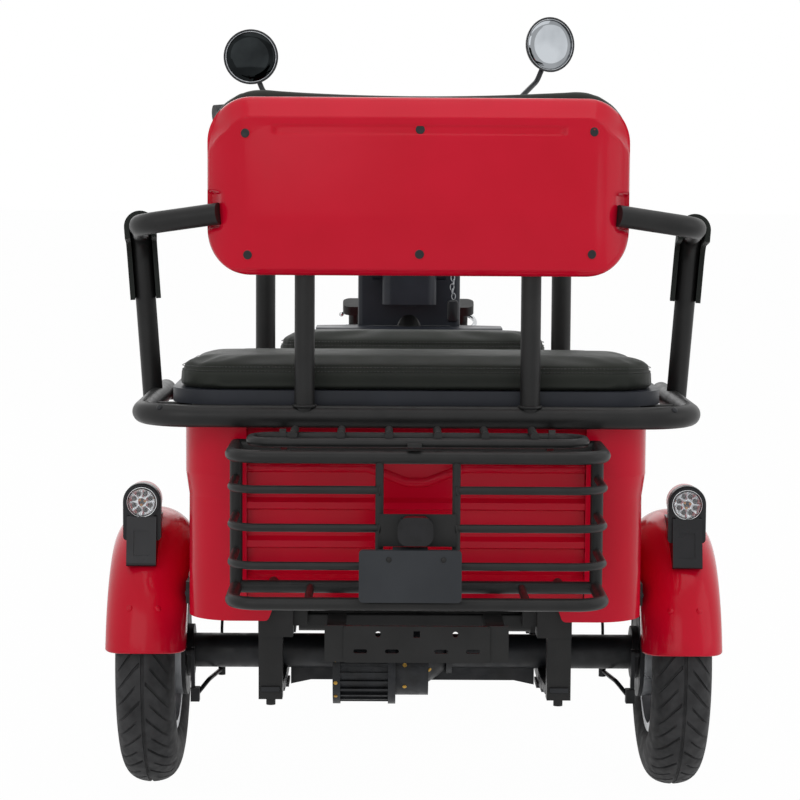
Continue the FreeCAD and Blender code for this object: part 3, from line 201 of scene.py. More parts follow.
# Silvered float glass of the mirrors, seen inside its plated edge. The two glasses carry painted reflections
# in their colour: the left one is painted dark for the dark of the studio it looks into, the right one pale
# for the pale wall it faces.
silvered = finish("silvered float glass, painted pale reflection", ("85898D", "9A9EA2"), 60.0, Metallic=1.0, Roughness=0.03)
silveredPaintedDarkReflection = finish("silvered float glass, painted dark reflection", ("181A1B", "232627"), 60.0, Metallic=1.0, Roughness=0.03)

# Nickel and chrome plate on springs, reflectors and small hardware.
chrome = finish("chrome plate on steel", ("C9CBCD", "D8DADC"), 20.0, (0.06, 0.16), 9.0, Metallic=1.0)

# Brass fittings of the brake cables and grease nipples.
brass = finish("turned brass", ("9A7A3C", "B8934A"), 8.0, (0.2, 0.38), 5.0, Metallic=1.0)

# Zinc-plated screws and nuts.
zinc = finish("zinc-plated steel", ("8F9296", "B2B5B8"), 6.0, (0.25, 0.42), 6.0, Metallic=1.0)

# Vulcanised grip rubber, softer and blacker than the tyres.
grip = finish("moulded rubber, grips", ("1C1C1D", "262627"), 12.0, (0.55, 0.75), 8.0,
              (1.5, 0.15, 3.0, 0.5), IOR=1.5)

finishes = {
    red: ["body_side_left", "body_side_right", "body_rear_panel", "body_front_panel", "backrest_shell",
          "rear_fenders", "front_fender", "front_apron", "seat_box", "lamp_backs"],
    satin: ["main_frame", "trunk_floor", "seat_frame", "arm_frames", "backrest_posts", "rack_frame",
            "rack_lid", "tow_plate", "fender_brackets", "fork", "handlebar"],
    chassisBlack: ["leaf_springs", "axle_housing", "brake_plates", "brake_linkage"],
    castDark: ["gearbox", "motor"],
    silver: ["front_rim", "rim_left", "rim_right"],
    vinyl: ["backrest_cushion", "bench_cushion", "rider_seat_cushion", "rider_backrest"],
    moulded: ["bench_base", "rider_seat_base", "footboard", "knee_box", "column_cover", "instrument_housing"],
    plateGrey: ["number_plate_holder"],
    lampBlack: ["lamp_housings", "mirrors"],
    batteryCase: ["battery_pack"],
    foam: ["arm_pads"],
    rubber: ["tyre_left", "tyre_right", "front_tyre"],
    clear: ["lamp_lenses", "headlamp_lens"],
    smoked: ["plate_lamp"],
    # the mirror glass node takes the pale painted reflection; it is hidden once the domed glasses are made
    silvered: ["mirror_glass"],
    chrome: ["fork_springs", "headlamp"],
    grip: ["handlebar_grips"],
}
for material, names in finishes.items():
    for name in names:
        slots = nodes[name].material_slots
        for slot in slots:
            slot.material = material
        if not slots:
            nodes[name].data.materials.append(material)
print("finishes on", sum(len(names) for names in finishes.values()), "frame nodes")


# A piece from points and faces: normals recalculated, smooth unless told otherwise, riding on a body.
def meshPiece(name, points, faces, material, body, smooth=True):
    mesh = bpy.data.meshes.new(name)
    mesh.from_pydata([tuple(p) for p in points], [], faces)
    work = bmesh.new()
    work.from_mesh(mesh)
    bmesh.ops.recalc_face_normals(work, faces=work.faces)
    work.to_mesh(mesh)
    work.free()
    mesh.materials.append(material)
    mesh.polygons.foreach_set("use_smooth", [smooth] * len(mesh.polygons))
    piece = bpy.data.objects.new(name, mesh)
    bpy.context.scene.collection.objects.link(piece)
    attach(piece, body)
    return piece


# Rings of points joined into a skin; the ends are closed by one face each unless the skin is open.
def skinRings(rings, closedEnds=True, loopBack=False):
    count = len(rings[0])
    points = [p for ring in rings for p in ring]
    faces = []
    rows = len(rings) if loopBack else len(rings) - 1
    for row in range(rows):
        first = row * count
        second = ((row + 1) % len(rings)) * count
        for k in range(count):
            after = (k + 1) % count
            faces.append((first + k, first + after, second + after, second + k))
    if closedEnds and not loopBack:
        faces.append(tuple(range(count)))
        faces.append(tuple(range((len(rings) - 1) * count, len(rings) * count)))
    return points, faces


def fullTurn(count):
    return [2 * math.pi * k / count for k in range(count)]


# Points round a centre, between two directions square to each other.
def circleOf(centre, side, other, radius, count):
    return [centre + (side * math.cos(t) + other * math.sin(t)) * radius for t in fullTurn(count)]


# A profile of (radius, along) turned about an axis through a point.
def turnedRings(profile, centre, axis, count):
    axis = Vector(axis).normalized()
    side = axis.orthogonal().normalized()
    other = axis.cross(side)
    return [circleOf(Vector(centre) + axis * along, side, other, radius, count) for radius, along in profile]


def inMetres(profile):
    return [(radius, along * mm) for radius, along in profile]


# A plated or rolled ring's section: its middle and half sizes, all from the axis and the face, in metres.
def ringSection(radius, along, wide, deep, count):
    return [(radius + wide * math.cos(t), along + deep * math.sin(t)) for t in fullTurn(count)]


# A round tube along a line of points, with its ends closed.
def tubeRings(path, radius, count, closed=False):
    path = [Vector(p) for p in path]
    rings = []
    last = None
    for k, point in enumerate(path):
        before = path[k - 1] if closed or k else point
        after = path[(k + 1) % len(path)] if closed or k < len(path) - 1 else point
        forward = (after - before).normalized()
        side = forward.orthogonal() if last is None else last - forward * last.dot(forward)
        side = side.normalized()
        last = side
        rings.append(circleOf(point, side, forward.cross(side), radius, count))
    return rings


def mergeParts(parts):
    points, faces = [], []
    for partPoints, partFaces in parts:
        start = len(points)
        points += partPoints
        faces += [tuple(i + start for i in face) for face in partFaces]
    return points, faces


# A rounded rectangle about the origin, the same number of points at every size.
def roundedLoop(halfU, halfV, radius, perCorner, perSide):
    radius = min(radius, halfU, halfV)
    loop = []
    corners = [(halfU - radius, halfV - radius, 0), (-halfU + radius, halfV - radius, 90),
               (-halfU + radius, -halfV + radius, 180), (halfU - radius, -halfV + radius, 270)]
    for number, (cu, cv, start) in enumerate(corners):
        for k in range(perCorner + 1):
            angle = math.radians(start + 90 * k / perCorner)
            loop.append((cu + radius * math.cos(angle), cv + radius * math.sin(angle)))
        nextU, nextV, nextStart = corners[(number + 1) % 4]
        angle = math.radians(nextStart)
        endU, endV = nextU + radius * math.cos(angle), nextV + radius * math.sin(angle)
        startU, startV = loop[-1]
        for k in range(1, perSide):
            loop.append((startU + (endU - startU) * k / perSide, startV + (endV - startV) * k / perSide))
    return loop


# One small shape on every spot, by Geometry Nodes: shapes are hex bolts, dome rivets and stitches.
def scatterTree(shape):
    tree = bpy.data.node_groups.new("repeat_" + shape, "GeometryNodeTree")
    sockets = {}
    for label, kind in (("Geometry", "NodeSocketGeometry"), ("Radius", "NodeSocketFloat"),
                        ("Height", "NodeSocketFloat"), ("Material", "NodeSocketMaterial")):
        sockets[label] = tree.interface.new_socket(label, in_out="INPUT", socket_type=kind).identifier
    tree.interface.new_socket("Geometry", in_out="OUTPUT", socket_type="NodeSocketGeometry")
    given = addNode(tree, "NodeGroupInput")
    if shape == "hex":
        head = addNode(tree, "GeometryNodeMeshCylinder", None, {"Vertices": 6},
                       {"Radius": (given, "Radius"), "Depth": (given, "Height")})
        wide = addNode(tree, "ShaderNodeMath", {"operation": "MULTIPLY"}, {1: 1.45}, {0: (given, "Radius")})
        thin = addNode(tree, "ShaderNodeMath", {"operation": "MULTIPLY"}, {1: 0.45}, {0: (given, "Height")})
        washer = addNode(tree, "GeometryNodeMeshCylinder", None, {"Vertices": 24},
                         {"Radius": (wide, 0), "Depth": (thin, 0)})
        body = addNode(tree, "GeometryNodeJoinGeometry")
        tree.links.new(head.outputs["Mesh"], body.inputs[0])
        tree.links.new(washer.outputs["Mesh"], body.inputs[0])
    else:
        ball = addNode(tree, "GeometryNodeMeshUVSphere", None, {"Segments": 14, "Rings": 8, "Radius": 1.0})
        size = addNode(tree, "ShaderNodeCombineXYZ", None, None,
                       {"X": (given, "Radius"), "Y": (given, "Radius"), "Z": (given, "Height")})
        if shape == "capsule":
            ball.inputs["Segments"].default_value = 6
            ball.inputs["Rings"].default_value = 5
            half = addNode(tree, "ShaderNodeMath", {"operation": "MULTIPLY"}, {1: 0.5},
                           {0: (given, "Height")})
            tree.links.new(half.outputs[0], size.inputs["Z"])
        body = addNode(tree, "GeometryNodeTransform", None, None,
                       {"Geometry": (ball, "Mesh"), "Scale": (size, 0)})
    facing = addNode(tree, "GeometryNodeInputNamedAttribute", {"data_type": "FLOAT_VECTOR"},
                     {"Name": "facing"})
    turn = addNode(tree, "FunctionNodeAlignRotationToVector", {"axis": "Z"}, None,
                   {"Vector": (facing, "Attribute")})
    many = addNode(tree, "GeometryNodeInstanceOnPoints", None, None,
                   {"Points": (given, "Geometry"), "Instance": (body, "Geometry"),
                    "Rotation": (turn, "Rotation")})
    real = addNode(tree, "GeometryNodeRealizeInstances", None, None, {"Geometry": (many, "Instances")})
    shade = addNode(tree, "GeometryNodeSetShadeSmooth", None, {"Shade Smooth": shape != "hex"},
                    {"Geometry": (real, "Geometry")})
    dressed = addNode(tree, "GeometryNodeSetMaterial", None, None,
                      {"Geometry": (shade, 0), "Material": (given, "Material")})
    addNode(tree, "NodeGroupOutput", None, None, {"Geometry": (dressed, "Geometry")})
    return tree, sockets


scatterTrees = {shape: scatterTree(shape) for shape in ("hex", "dome", "capsule")}


# Spots are (place, direction); radius and height in metres.
def scatter(name, spots, shape, material, body, radius, height):
    mesh = bpy.data.meshes.new(name + "Spots")
    mesh.from_pydata([tuple(place) for place, direction in spots], [], [])
    facing = mesh.attributes.new("facing", "FLOAT_VECTOR", "POINT")
    facing.data.foreach_set("vector", [c for place, direction in spots for c in direction])
    piece = bpy.data.objects.new(name, mesh)
    bpy.context.scene.collection.objects.link(piece)
    tree, sockets = scatterTrees[shape]
    modifier = piece.modifiers.new("repeat", "NODES")
    modifier.node_group = tree
    modifier[sockets["Radius"]] = radius
    modifier[sockets["Height"]] = height
    modifier[sockets["Material"]] = material
    graph = bpy.context.evaluated_depsgraph_get()
    whole = bpy.data.meshes.new_from_object(piece.evaluated_get(graph))
    piece.modifiers.clear()
    piece.data = whole
    if not whole.materials:
        whole.materials.append(material)
    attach(piece, body)
    return piece


# Upholstery. Each cushion is a stack of rounded loops (inset from its outline, height, both in millimetres),
# then cloth under pressure with its back held, then its seams.
soft = {
    "voxel": 0.006,
    "pressure": 4.0,
    "frames": 20,
    "held": 3.0,           # millimetres from the back that stay put
    "seamDepth": 1.6,      # millimetres that a sewn line pulls in
    "seamWidth": 5.0,
    "rowGap": 2.6,         # millimetres from the seam to each row of stitches
    "stitch": (0.55, 3.4),         # a stitch's radius and length in millimetres
    "cornerRise": 80.0,    # millimetres of height over which a lifted corner rises
}


def cushionForm(centre, halfU, halfV, corner, layers, toWorld, crown):
    rings = []
    for inset, height in layers:
        inside = inset * mm
        loop = roundedLoop(halfU - inside, halfV - inside, max(corner - inside * 0.6, 0.012), 8, 10)
        ring = []
        for u, v in loop:
            lift = crown * max(0.0, 1 - (u / halfU) ** 2) * (height > layers[len(layers) // 2][1])
            ring.append(toWorld(centre, u, v, height * mm + lift))
        rings.append(ring)
    return skinRings(rings)


def upward(centre, u, v, w):
    return Vector((centre[0] + u, centre[1] + v, centre[2] + w))


def forward(centre, u, v, w):
    return Vector((centre[0] + u, centre[1] + w, centre[2] + v))


def applied(piece):
    graph = bpy.context.evaluated_depsgraph_get()
    mesh = bpy.data.meshes.new_from_object(piece.evaluated_get(graph))
    piece.modifiers.clear()
    old = piece.data
    piece.data = mesh
    bpy.data.meshes.remove(old)
    return mesh


# Cloth under pressure; held says which points stay put, cap is how far the others may move.
def inflate(piece, held, cap):
    remesh = piece.modifiers.new("remesh", "REMESH")
    remesh.mode = "VOXEL"
    remesh.voxel_size = soft["voxel"]
    mesh = applied(piece)
    start = [v.co.copy() for v in mesh.vertices]
    group = piece.vertex_groups.new(name="held")
    group.add([v.index for v in mesh.vertices if held(v.co)], 1.0, "REPLACE")
    cloth = piece.modifiers.new("cloth", "CLOTH")
    cloth.settings.quality = 6
    cloth.settings.mass = 0.3
    cloth.settings.use_pressure = True
    cloth.settings.uniform_pressure_force = soft["pressure"]
    cloth.settings.effector_weights.gravity = 0
    cloth.settings.vertex_group_mass = "held"
    cloth.settings.tension_stiffness = 25
    cloth.settings.compression_stiffness = 25
    cloth.settings.bending_stiffness = 2
    cloth.point_cache.frame_start = 1
    cloth.point_cache.frame_end = soft["frames"]
    for frameNumber in range(1, soft["frames"] + 1):
        bpy.context.scene.frame_set(frameNumber)
    mesh = applied(piece)
    bpy.context.scene.frame_set(1)
    for vertex, before in zip(mesh.vertices, start):
        move = vertex.co - before
        if move.length > cap * mm:
            vertex.co = before + move * (cap * mm / move.length)
    smooth = piece.modifiers.new("smooth", "SMOOTH")
    smooth.factor = 0.5
    smooth.iterations = 4
    finer = piece.modifiers.new("finer", "SUBSURF")
    finer.levels = 1
    finer.render_levels = 1
    mesh = applied(piece)
    mesh.polygons.foreach_set("use_smooth", [True] * len(mesh.polygons))
    return piece


# Points round a cushion's side at one height, found on its swollen surface.
def sideLine(piece, centre, halfU, halfV, corner, height, toWorld, count):
    tree = BVHTree.FromObject(piece, bpy.context.evaluated_depsgraph_get())
    loop = roundedLoop(halfU, halfV, corner, 12, 40)
    lengths = [0.0]
    for k in range(len(loop)):
        a, b = Vector(loop[k]), Vector(loop[(k + 1) % len(loop)])
        lengths.append(lengths[-1] + (b - a).length)
    line = []
    for k in range(count):
        goal = lengths[-1] * k / count
        at = next(i for i in range(len(loop)) if lengths[i + 1] > goal)
        share = (goal - lengths[at]) / (lengths[at + 1] - lengths[at])
        a, b = Vector(loop[at]), Vector(loop[(at + 1) % len(loop)])
        point = a.lerp(b, share)
        inner = Vector((max(-halfU + corner, min(halfU - corner, point.x)),
                        max(-halfV + corner, min(halfV - corner, point.y))))
        out = (point - inner).normalized()
        outside = toWorld(centre, point.x + out.x * 0.05, point.y + out.y * 0.05, height)
        aim = toWorld(centre, inner.x, inner.y, height) - outside
        place, normal, face, distance = tree.ray_cast(outside, aim.normalized())
        if place:
            line.append((place, normal))
    return line


# A sewn line pulls the cover in along a level of the cushion.
def pullSeam(piece, level):
    width = soft["seamWidth"] * mm
    for vertex in piece.data.vertices:
        gap = abs(level(vertex.co))
        if gap < width:
            vertex.co -= vertex.normal * soft["seamDepth"] * mm * (1 - (gap / width) ** 2)


def stitchSpots(line, offset, up):
    spots = []
    for k, (place, normal) in enumerate(line):
        along = (line[(k + 1) % len(line)][0] - line[k - 1][0]).normalized()
        spots.append((place + up * offset * mm + normal * 0.25 * mm, along))
    return spots


cushions = {
    "benchCushion": {
        "node": "bench_cushion", "body": "bench", "corner": 62, "grow": 2.0, "seam": 26.0, "cap": 6.0,
        "layers": ((9, 0.3), (3, 3), (1, 9), (0, 20), (0, 26),
                   (1, 29), (5, 33), (14, 36), (32, 37.5), (70, 38)),
        "crown": 0.001, "facing": "up", "stitches": 420,
        "fall": 14.0,             # mm that the top falls from the rear edge to the front
    },
    "riderSeatCushion": {
        "node": "rider_seat_cushion", "body": "rider_seat", "corner": 58, "grow": 2.0, "seam": 20.0,
        "cap": 6.0,
        "layers": ((9, 0.3), (3, 3), (1, 8), (0, 16), (0, 21),
                   (2, 25), (7, 30), (17, 32), (36, 33), (70, 34)),
        "crown": 0.001, "facing": "up", "stitches": 300,
        "fall": 17.0,
    },
    "backrestCushion": {
        "node": "backrest_cushion", "body": "chassis", "corner": 60, "grow": 3.0, "seam": 24.0, "cap": 8.0,
        "layers": ((6, 0.3), (2, 3), (0, 9), (0, 20), (0, 25),
                   (2, 31), (8, 41), (20, 48), (40, 51), (80, 53)),
        "crown": 0.0, "facing": "forward", "stitches": 320,
        "lift": (6.0, 0.19),      # mm that the top corners stand higher, and how far out they are in metres
    },
    "riderBackrestCushion": {
        "node": "rider_backrest", "body": "chassis", "corner": 60, "grow": 2.0, "seam": 8.0, "cap": 5.0,
        "layers": ((5, 0.2), (1, 2), (0, 5), (0, 8), (2, 11), (7, 14), (20, 16), (50, 17)),
        "crown": 0.0, "facing": "forward", "stitches": 300,
    },
}


# The top edge rises towards its corners, where the cover is drawn over the backrest's frame.
def liftCorners(piece, middle, plan):
    rise, reach = plan["lift"]
    for vertex in piece.data.vertices:
        above = min(1.0, max(0.0, (vertex.co.z - middle[2]) / (soft["cornerRise"] * mm)))
        outward = min(1.0, abs(vertex.co.x - middle[0]) / reach)
        vertex.co.z += rise * mm * above * outward ** 2


# A seat is thickest along its rear edge and thins towards its front, over the same flat base.
def slopeTop(piece, low, high, fall):
    for vertex in piece.data.vertices:
        ahead = min(1.0, max(0.0, (vertex.co.y - low.y) / (high.y - low.y)))
        above = max(0.0, (vertex.co.z - low.z) / (high.z - low.z))
        vertex.co.z -= fall * mm * ahead * above


def makeCushion(name, plan):
    low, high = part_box(plan["node"])
    if plan["facing"] == "up":
        toWorld, up = upward, Vector((0, 0, 1))
        halfU, halfV = (high.x - low.x) / 2, (high.y - low.y) / 2
        centre = ((low.x + high.x) / 2, (low.y + high.y) / 2, low.z)
        height = lambda co: co.z - centre[2]
    else:
        toWorld, up = forward, Vector((0, 1, 0))
        halfU, halfV = (high.x - low.x) / 2, (high.z - low.z) / 2
        centre = ((low.x + high.x) / 2, low.y, (low.z + high.z) / 2)
        height = lambda co: co.y - centre[1]
    halfU -= plan["grow"] * mm
    halfV -= plan["grow"] * mm
    corner, seam = plan["corner"] * mm, plan["seam"] * mm
    form = cushionForm(centre, halfU, halfV, corner, plan["layers"], toWorld, plan["crown"])
    piece = meshPiece(name, *form, material=vinyl, body=plan["body"])
    inflate(piece, lambda co: height(co) < soft["held"] * mm, plan["cap"])
    line = sideLine(piece, centre, halfU, halfV, corner, seam, toWorld, plan["stitches"])
    pullSeam(piece, lambda co: height(co) - seam)
    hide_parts(plan["node"])
    spots = stitchSpots(line, -soft["rowGap"], up) + stitchSpots(line, soft["rowGap"], up)
    radius, length = soft["stitch"]
    thread = scatter(name + "Stitches", spots, "capsule", threadBlack, plan["body"], radius * mm, length * mm)
    for sewn in (piece, thread):
        if "lift" in plan:
            liftCorners(sewn, centre, plan)
        if "fall" in plan:
            slopeTop(sewn, low, high, plan["fall"])


for name, plan in cushions.items():
    makeCushion(name, plan)
print("cushions sewn", len(cushions))


# The red backrest shell, one moulding: a bevelled rim that fades out down its sides, a soft crease,
# sides that turn forward, a shallow groove under the top and two recesses for the arm tubes.
shell = {
    "half": 0.261,
    "corner": 0.055,
    "flat": 0.180,        # half width of the flat middle
    "bend": 0.100,        # radius of the sides' turn
    "crease": 0.783,
    "bevel": 0.024,
    "bevelEnd": (0.850, 0.905),
    "rings": 64,
    "bevelSlope": 0.72,
    "wall": 0.046,        # from the rearmost plane to the hidden inside
    "groove": (0.178, 0.889, 0.0062),      # half width, height of its middle, half height
    "recess": (0.243, 0.7905, 0.0235),     # inner edge, height of its middle, half height
    "holes": ((-0.212, 0.884), (0.001, 0.8895), (0.213, 0.888),
              (-0.209, 0.736), (0.001, 0.738), (0.212, 0.739)),
    "holeRadius": 0.0055,
}


def smoothMax(a, b, blend):
    return 0.5 * (a + b + math.sqrt((a - b) ** 2 + blend ** 2)) - blend / 2


def easeBetween(value, low, high):
    share = min(1.0, max(0.0, (value - low) / (high - low)))
    return share * share * (3 - 2 * share)


# How far forward of its rearmost plane the skin lies.
def shellDepth(x, z):
    across = max(0.0, abs(x) - shell["flat"])
    turn = shell["bend"] - math.sqrt(max(0.0, shell["bend"] ** 2 - min(across, 0.099) ** 2))
    above = max(0.0, z - shell["crease"]) * 0.050
    below = max(0.0, shell["crease"] - z) * 0.125
    lip = max(0.0, 0.7195 - z) * 0.9
    depth = smoothMax(above + below + lip, turn, 0.006) + 0.5 * min(turn, 0.010)
    halfGroove, grooveZ, grooveHigh = shell["groove"]
    groove = easeBetween(halfGroove - abs(x), 0, 0.002) * easeBetween(grooveHigh - abs(z - grooveZ), 0, 0.002)
    recessX, recessZ, recessHigh = shell["recess"]
    recess = easeBetween(abs(x) - recessX, 0, 0.003) * easeBetween(recessHigh - abs(z - recessZ), 0, 0.003)
    return depth + 0.0020 * groove + 0.010 * recess


def makeShell():
    low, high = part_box("backrest_shell")
    rear, front = low.y, high.y
    halfX, halfZ = shell["half"], (high.z - low.z) / 2
    middleZ = (low.z + high.z) / 2
    outline = roundedLoop(halfX, halfZ, shell["corner"], 22, 46)
    count = len(outline)
    inward = []
    for k, (u, v) in enumerate(outline):
        before, after = outline[k - 1], outline[(k + 1) % count]
        inward.append(Vector((-(after[1] - before[1]), after[0] - before[0])).normalized())
    rings = [[Vector((u, front, middleZ + v)) for u, v in outline]]
    steps = [(0.0, 5.0), (0.8, 2.2), (2.2, 0.7), (4.2, 0.0)]
    for inset, back in steps:
        ring = []
        for (u, v), n in zip(outline, inward):
            x, z = u + n.x * inset * mm, middleZ + v + n.y * inset * mm
            width = shell["bevel"] * easeBetween(z, *shell["bevelEnd"])
            edge = max(0.0, width - inset * mm) * shell["bevelSlope"]
            ring.append(Vector((x, min(front - 0.5 * mm, rear + shellDepth(x, z) + edge + back * mm), z)))
        rings.append(ring)
    for share in (0.5, 0.96, 1.04):
        ring = []
        for (u, v), n in zip(outline, inward):
            width = max(0.0052, shell["bevel"] * easeBetween(middleZ + v, *shell["bevelEnd"]))
            inset = 0.0044 + (width - 0.0044) * share
            x, z = u + n.x * inset, middleZ + v + n.y * inset
            edge = max(0.0, width - inset) * shell["bevelSlope"]
            step = 0.0010 if share > 1 and width > 0.008 else 0.0
            ring.append(Vector((x, rear + shellDepth(x, z) + edge - step, z)))
        rings.append(ring)
    inner = [(p.x, p.z) for p in rings[-1]]
    for number in range(1, shell["rings"] + 1):
        shrink = 1 - number / (shell["rings"] + 0.5)
        ring = []
        for x, z in inner:
            px, pz = x * shrink, middleZ + (z - middleZ) * shrink
            step = 0.0010 * easeBetween(pz, 0.86, 0.90) * max(0.0, 1 - number / 8)
            ring.append(Vector((px, rear + shellDepth(px, pz) - step, pz)))
        rings.append(ring)
    inside = [[Vector((p.x * 0.985, front, middleZ + (p.z - middleZ) * 0.965)) for p in rings[0]],
              [Vector((p.x * 0.97, rear + shell["wall"], middleZ + (p.z - middleZ) * 0.93))
               for p in rings[0]]]
    piece = meshPiece("backrestSkin", *skinRings(inside[::-1] + rings), material=red, body="chassis")
    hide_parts("backrest_shell")
    # The six holes are not cut through the skin: each gets a shallow black cup, painted shade standing in for
    # the dark inside of the hole, with a red collar round it.
    parts = []
    collars = []
    for x, z in shell["holes"]:
        y = rear + shellDepth(x, z)
        slopeX = (shellDepth(x + mm, z) - shellDepth(x - mm, z)) / (2 * mm)
        slopeZ = (shellDepth(x, z + mm) - shellDepth(x, z - mm)) / (2 * mm)
        inwards = (-slopeX, 1, -slopeZ)
        radius = shell["holeRadius"]
        profile = [(0.0001, -0.35), (radius * 0.7, -0.4), (radius, -0.65), (radius * 1.03, -0.5),
                   (radius * 1.04, 1.5)]
        parts.append(skinRings(turnedRings(inMetres(profile), (x, y, z), inwards, 28)))
        rim = ringSection(radius * 1.10, -0.1 * mm, 0.7 * mm, 0.5 * mm, 8)
        collars.append(skinRings(turnedRings(rim, (x, y, z), inwards, 32), loopBack=True))
    # black cups: painted shade where the holes are
    holeShade = meshPiece("backrestHolePaintedShade", *mergeParts(parts), material=lampBlack, body="chassis")
    collar = meshPiece("backrestHoleRims", *mergeParts(collars), material=red, body="chassis")


makeShell()
print("backrest shell moulded")


# Rear fenders: a crowned sheet whose lower corners are rounded off, with a rolled lip and two rivets.
fender = {
    "radius": 0.198,
    "half": 0.053,
    "shoulder": 0.040,
    "skirt": 0.018,
    "wall": 0.0025,
    "angles": (15.0, 170.0),      # up from straight ahead
    "corner": 0.055,              # across the sheet
    "cornerDrop": 0.017,          # along it
    "lip": 0.0022,
    "lipInset": 0.0022,
    "rivets": ((-0.019, 153.0), (0.019, 153.0)),      # across the sheet, and the angle
    "rivet": (4.2, 2.4),          # radius and height in mm
}
crown = (fender["half"] ** 2 + fender["shoulder"] ** 2) / (2 * fender["shoulder"])
arc = math.asin(fender["half"] / crown) * crown


# A point of the sheet: along runs across it from its middle, angle runs round the wheel.
def fenderPoint(centre, side, along, angle, inset):
    hub = fender["radius"] - crown
    if abs(along) <= arc:
        turn = along / crown
        x, radius = (crown - inset) * math.sin(turn), hub + (crown - inset) * math.cos(turn)
    else:
        x = math.copysign(fender["half"] - inset, along)
        radius = fender["radius"] - fender["shoulder"] - (abs(along) - arc)
    return centre + Vector((x * side, radius * math.cos(angle), radius * math.sin(angle)))


def fenderWidth(angle):
    full = arc + fender["skirt"]
    start, end = (math.radians(a) for a in fender["angles"])
    gap = min(angle - start, end - angle) * fender["radius"]
    corner, drop = fender["corner"], fender["cornerDrop"]
    if gap >= drop:
        return full
    return full - corner + corner * math.sqrt(max(0.0, 1 - ((drop - gap) / drop) ** 2))


def makeFender(side):
    low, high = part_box("rear_fenders")
    centre = Vector(((high.x - fender["half"]) * side, axleY, axleZ))
    name = "Left" if side < 0 else "Right"
    start, end = (math.radians(a) for a in fender["angles"])
    angles = [start + (end - start) * k / 110 for k in range(111)]
    drop = fender["cornerDrop"] / fender["radius"]
    tail = [end - drop * (1 - math.cos(math.pi / 2 * k / 14)) for k in range(15)]
    head = [start + (end - a) for a in tail]
    angles = sorted(set(round(a, 6) for a in angles + tail + head if start <= a <= end))
    across = 44
    rings = []
    for angle in angles:
        width = fenderWidth(angle)
        outer = [fenderPoint(centre, side, width * (2 * k / across - 1), angle, 0) for k in range(across + 1)]
        inner = [fenderPoint(centre, side, width * (1 - 2 * k / across), angle, fender["wall"])
                 for k in range(across + 1)]
        rings.append(outer + inner)
    piece = meshPiece("fender" + name, *skinRings(rings), material=red, body="chassis")
    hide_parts("rear_fenders")
    way = [(-fenderWidth(a), a) for a in angles]
    way += [(fenderWidth(angles[-1]) * (2 * k / 20 - 1), angles[-1]) for k in range(1, 20)]
    way += [(fenderWidth(a), a) for a in reversed(angles)]
    edge = [fenderPoint(centre, side, along, a, fender["lipInset"]) for along, a in way]
    skin = skinRings(tubeRings(edge, fender["lip"], 8))
    lip = meshPiece("fenderLip" + name, *skin, material=red, body="chassis")
    spots = []
    for along, degrees in fender["rivets"]:
        angle = math.radians(degrees)
        place = fenderPoint(centre, 1, along, angle, 0)
        ahead = fenderPoint(centre, 1, along, angle, -0.01)
        spots.append((place, (ahead - place).normalized()))
    radius, height = fender["rivet"]
    rivets = scatter("fenderRivets" + name, spots, "dome", red, "chassis", radius * mm, height * mm)


makeFender(-1)
makeFender(1)
print("fenders rolled")


# Scooter tyres: each pitch of the tread has its own columns, and the whole skin is swept with the grooves.
tyre = {
    "pitches": 22,
    "columns": (0.0, 0.10, 0.12, 0.20, 0.22, 0.42, 0.60, 0.62, 0.68, 0.70, 0.85),
    "mainGroove": (0.12, 0.20),      # shares of a pitch that lie at the groove's floor
    "sideGroove": (0.62, 0.68),
    "mainReach": (5, 33),            # mm from the middle
    "sideReach": (13, 36.5),
    "depth": 3.0,
    "centreGroove": (2.0, 2.2),      # half width and depth
    "shoulder": 36.8,                # where the grooves have run out
    "sweep": 0.26,                   # radians that a groove trails from the crown to the shoulder
    "profile": ((0.3, 0), (1.6, 0), (2.4, 0), (3.2, 0), (5, 0.1), (9, 0.6), (13, 1.5), (17, 2.7),
                (21, 4.4), (25, 6.9), (28.5, 9.8), (31.5, 13.4), (34, 17.5), (36, 22), (37.6, 27),
                (38.8, 33), (39.4, 39), (39.3, 45), (38.3, 51), (36.6, 57), (34.2, 62), (31.4, 66.6),
                (28, 70.2), (27.4, 74)),
}


def within(value, limits):
    return limits[0] <= value <= limits[1]


def grooveDepth(inset, column):
    main = within(column, tyre["mainGroove"]) and within(inset, tyre["mainReach"])
    side = within(column, tyre["sideGroove"]) and within(inset, tyre["sideReach"])
    if main or side:
        return tyre["depth"] * min(1.0, (tyre["shoulder"] - inset) / 8)
    halfWidth, depth = tyre["centreGroove"]
    return depth if inset < halfWidth else 0.0


def makeTyre(node, body):
    low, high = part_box(node)
    middle = (low + high) / 2
    radius = (high.z - low.z) / 2
    half = tyre["profile"]
    section = [(-x, drop) for x, drop in reversed(half)] + list(half)
    rings = []
    for pitch in range(tyre["pitches"]):
        for column in tyre["columns"]:
            ring = []
            for x, drop in section:
                inset = abs(x)
                lag = tyre["sweep"] * (inset / 36.0) ** 1.3
                shift = 0.5 if x < 0 else 0.0
                angle = 2 * math.pi * (pitch + column + shift) / tyre["pitches"] + lag
                out = radius - (drop + grooveDepth(inset, column)) * mm
                ring.append(middle + Vector((x * mm, out * math.cos(angle), out * math.sin(angle))))
            rings.append(ring)
    piece = meshPiece(node + "Tread", *skinRings(rings, loopBack=True), material=rubber, body=body)
    edges = piece.modifiers.new("edges", "EDGE_SPLIT")
    edges.split_angle = math.radians(35)
    applied(piece)
    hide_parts(node)


wheels = {"tyre_left": "wheel_left", "tyre_right": "wheel_right", "front_tyre": "front_wheel"}
for node, body in wheels.items():
    makeTyre(node, body)
print("tyres with tread", len(wheels))


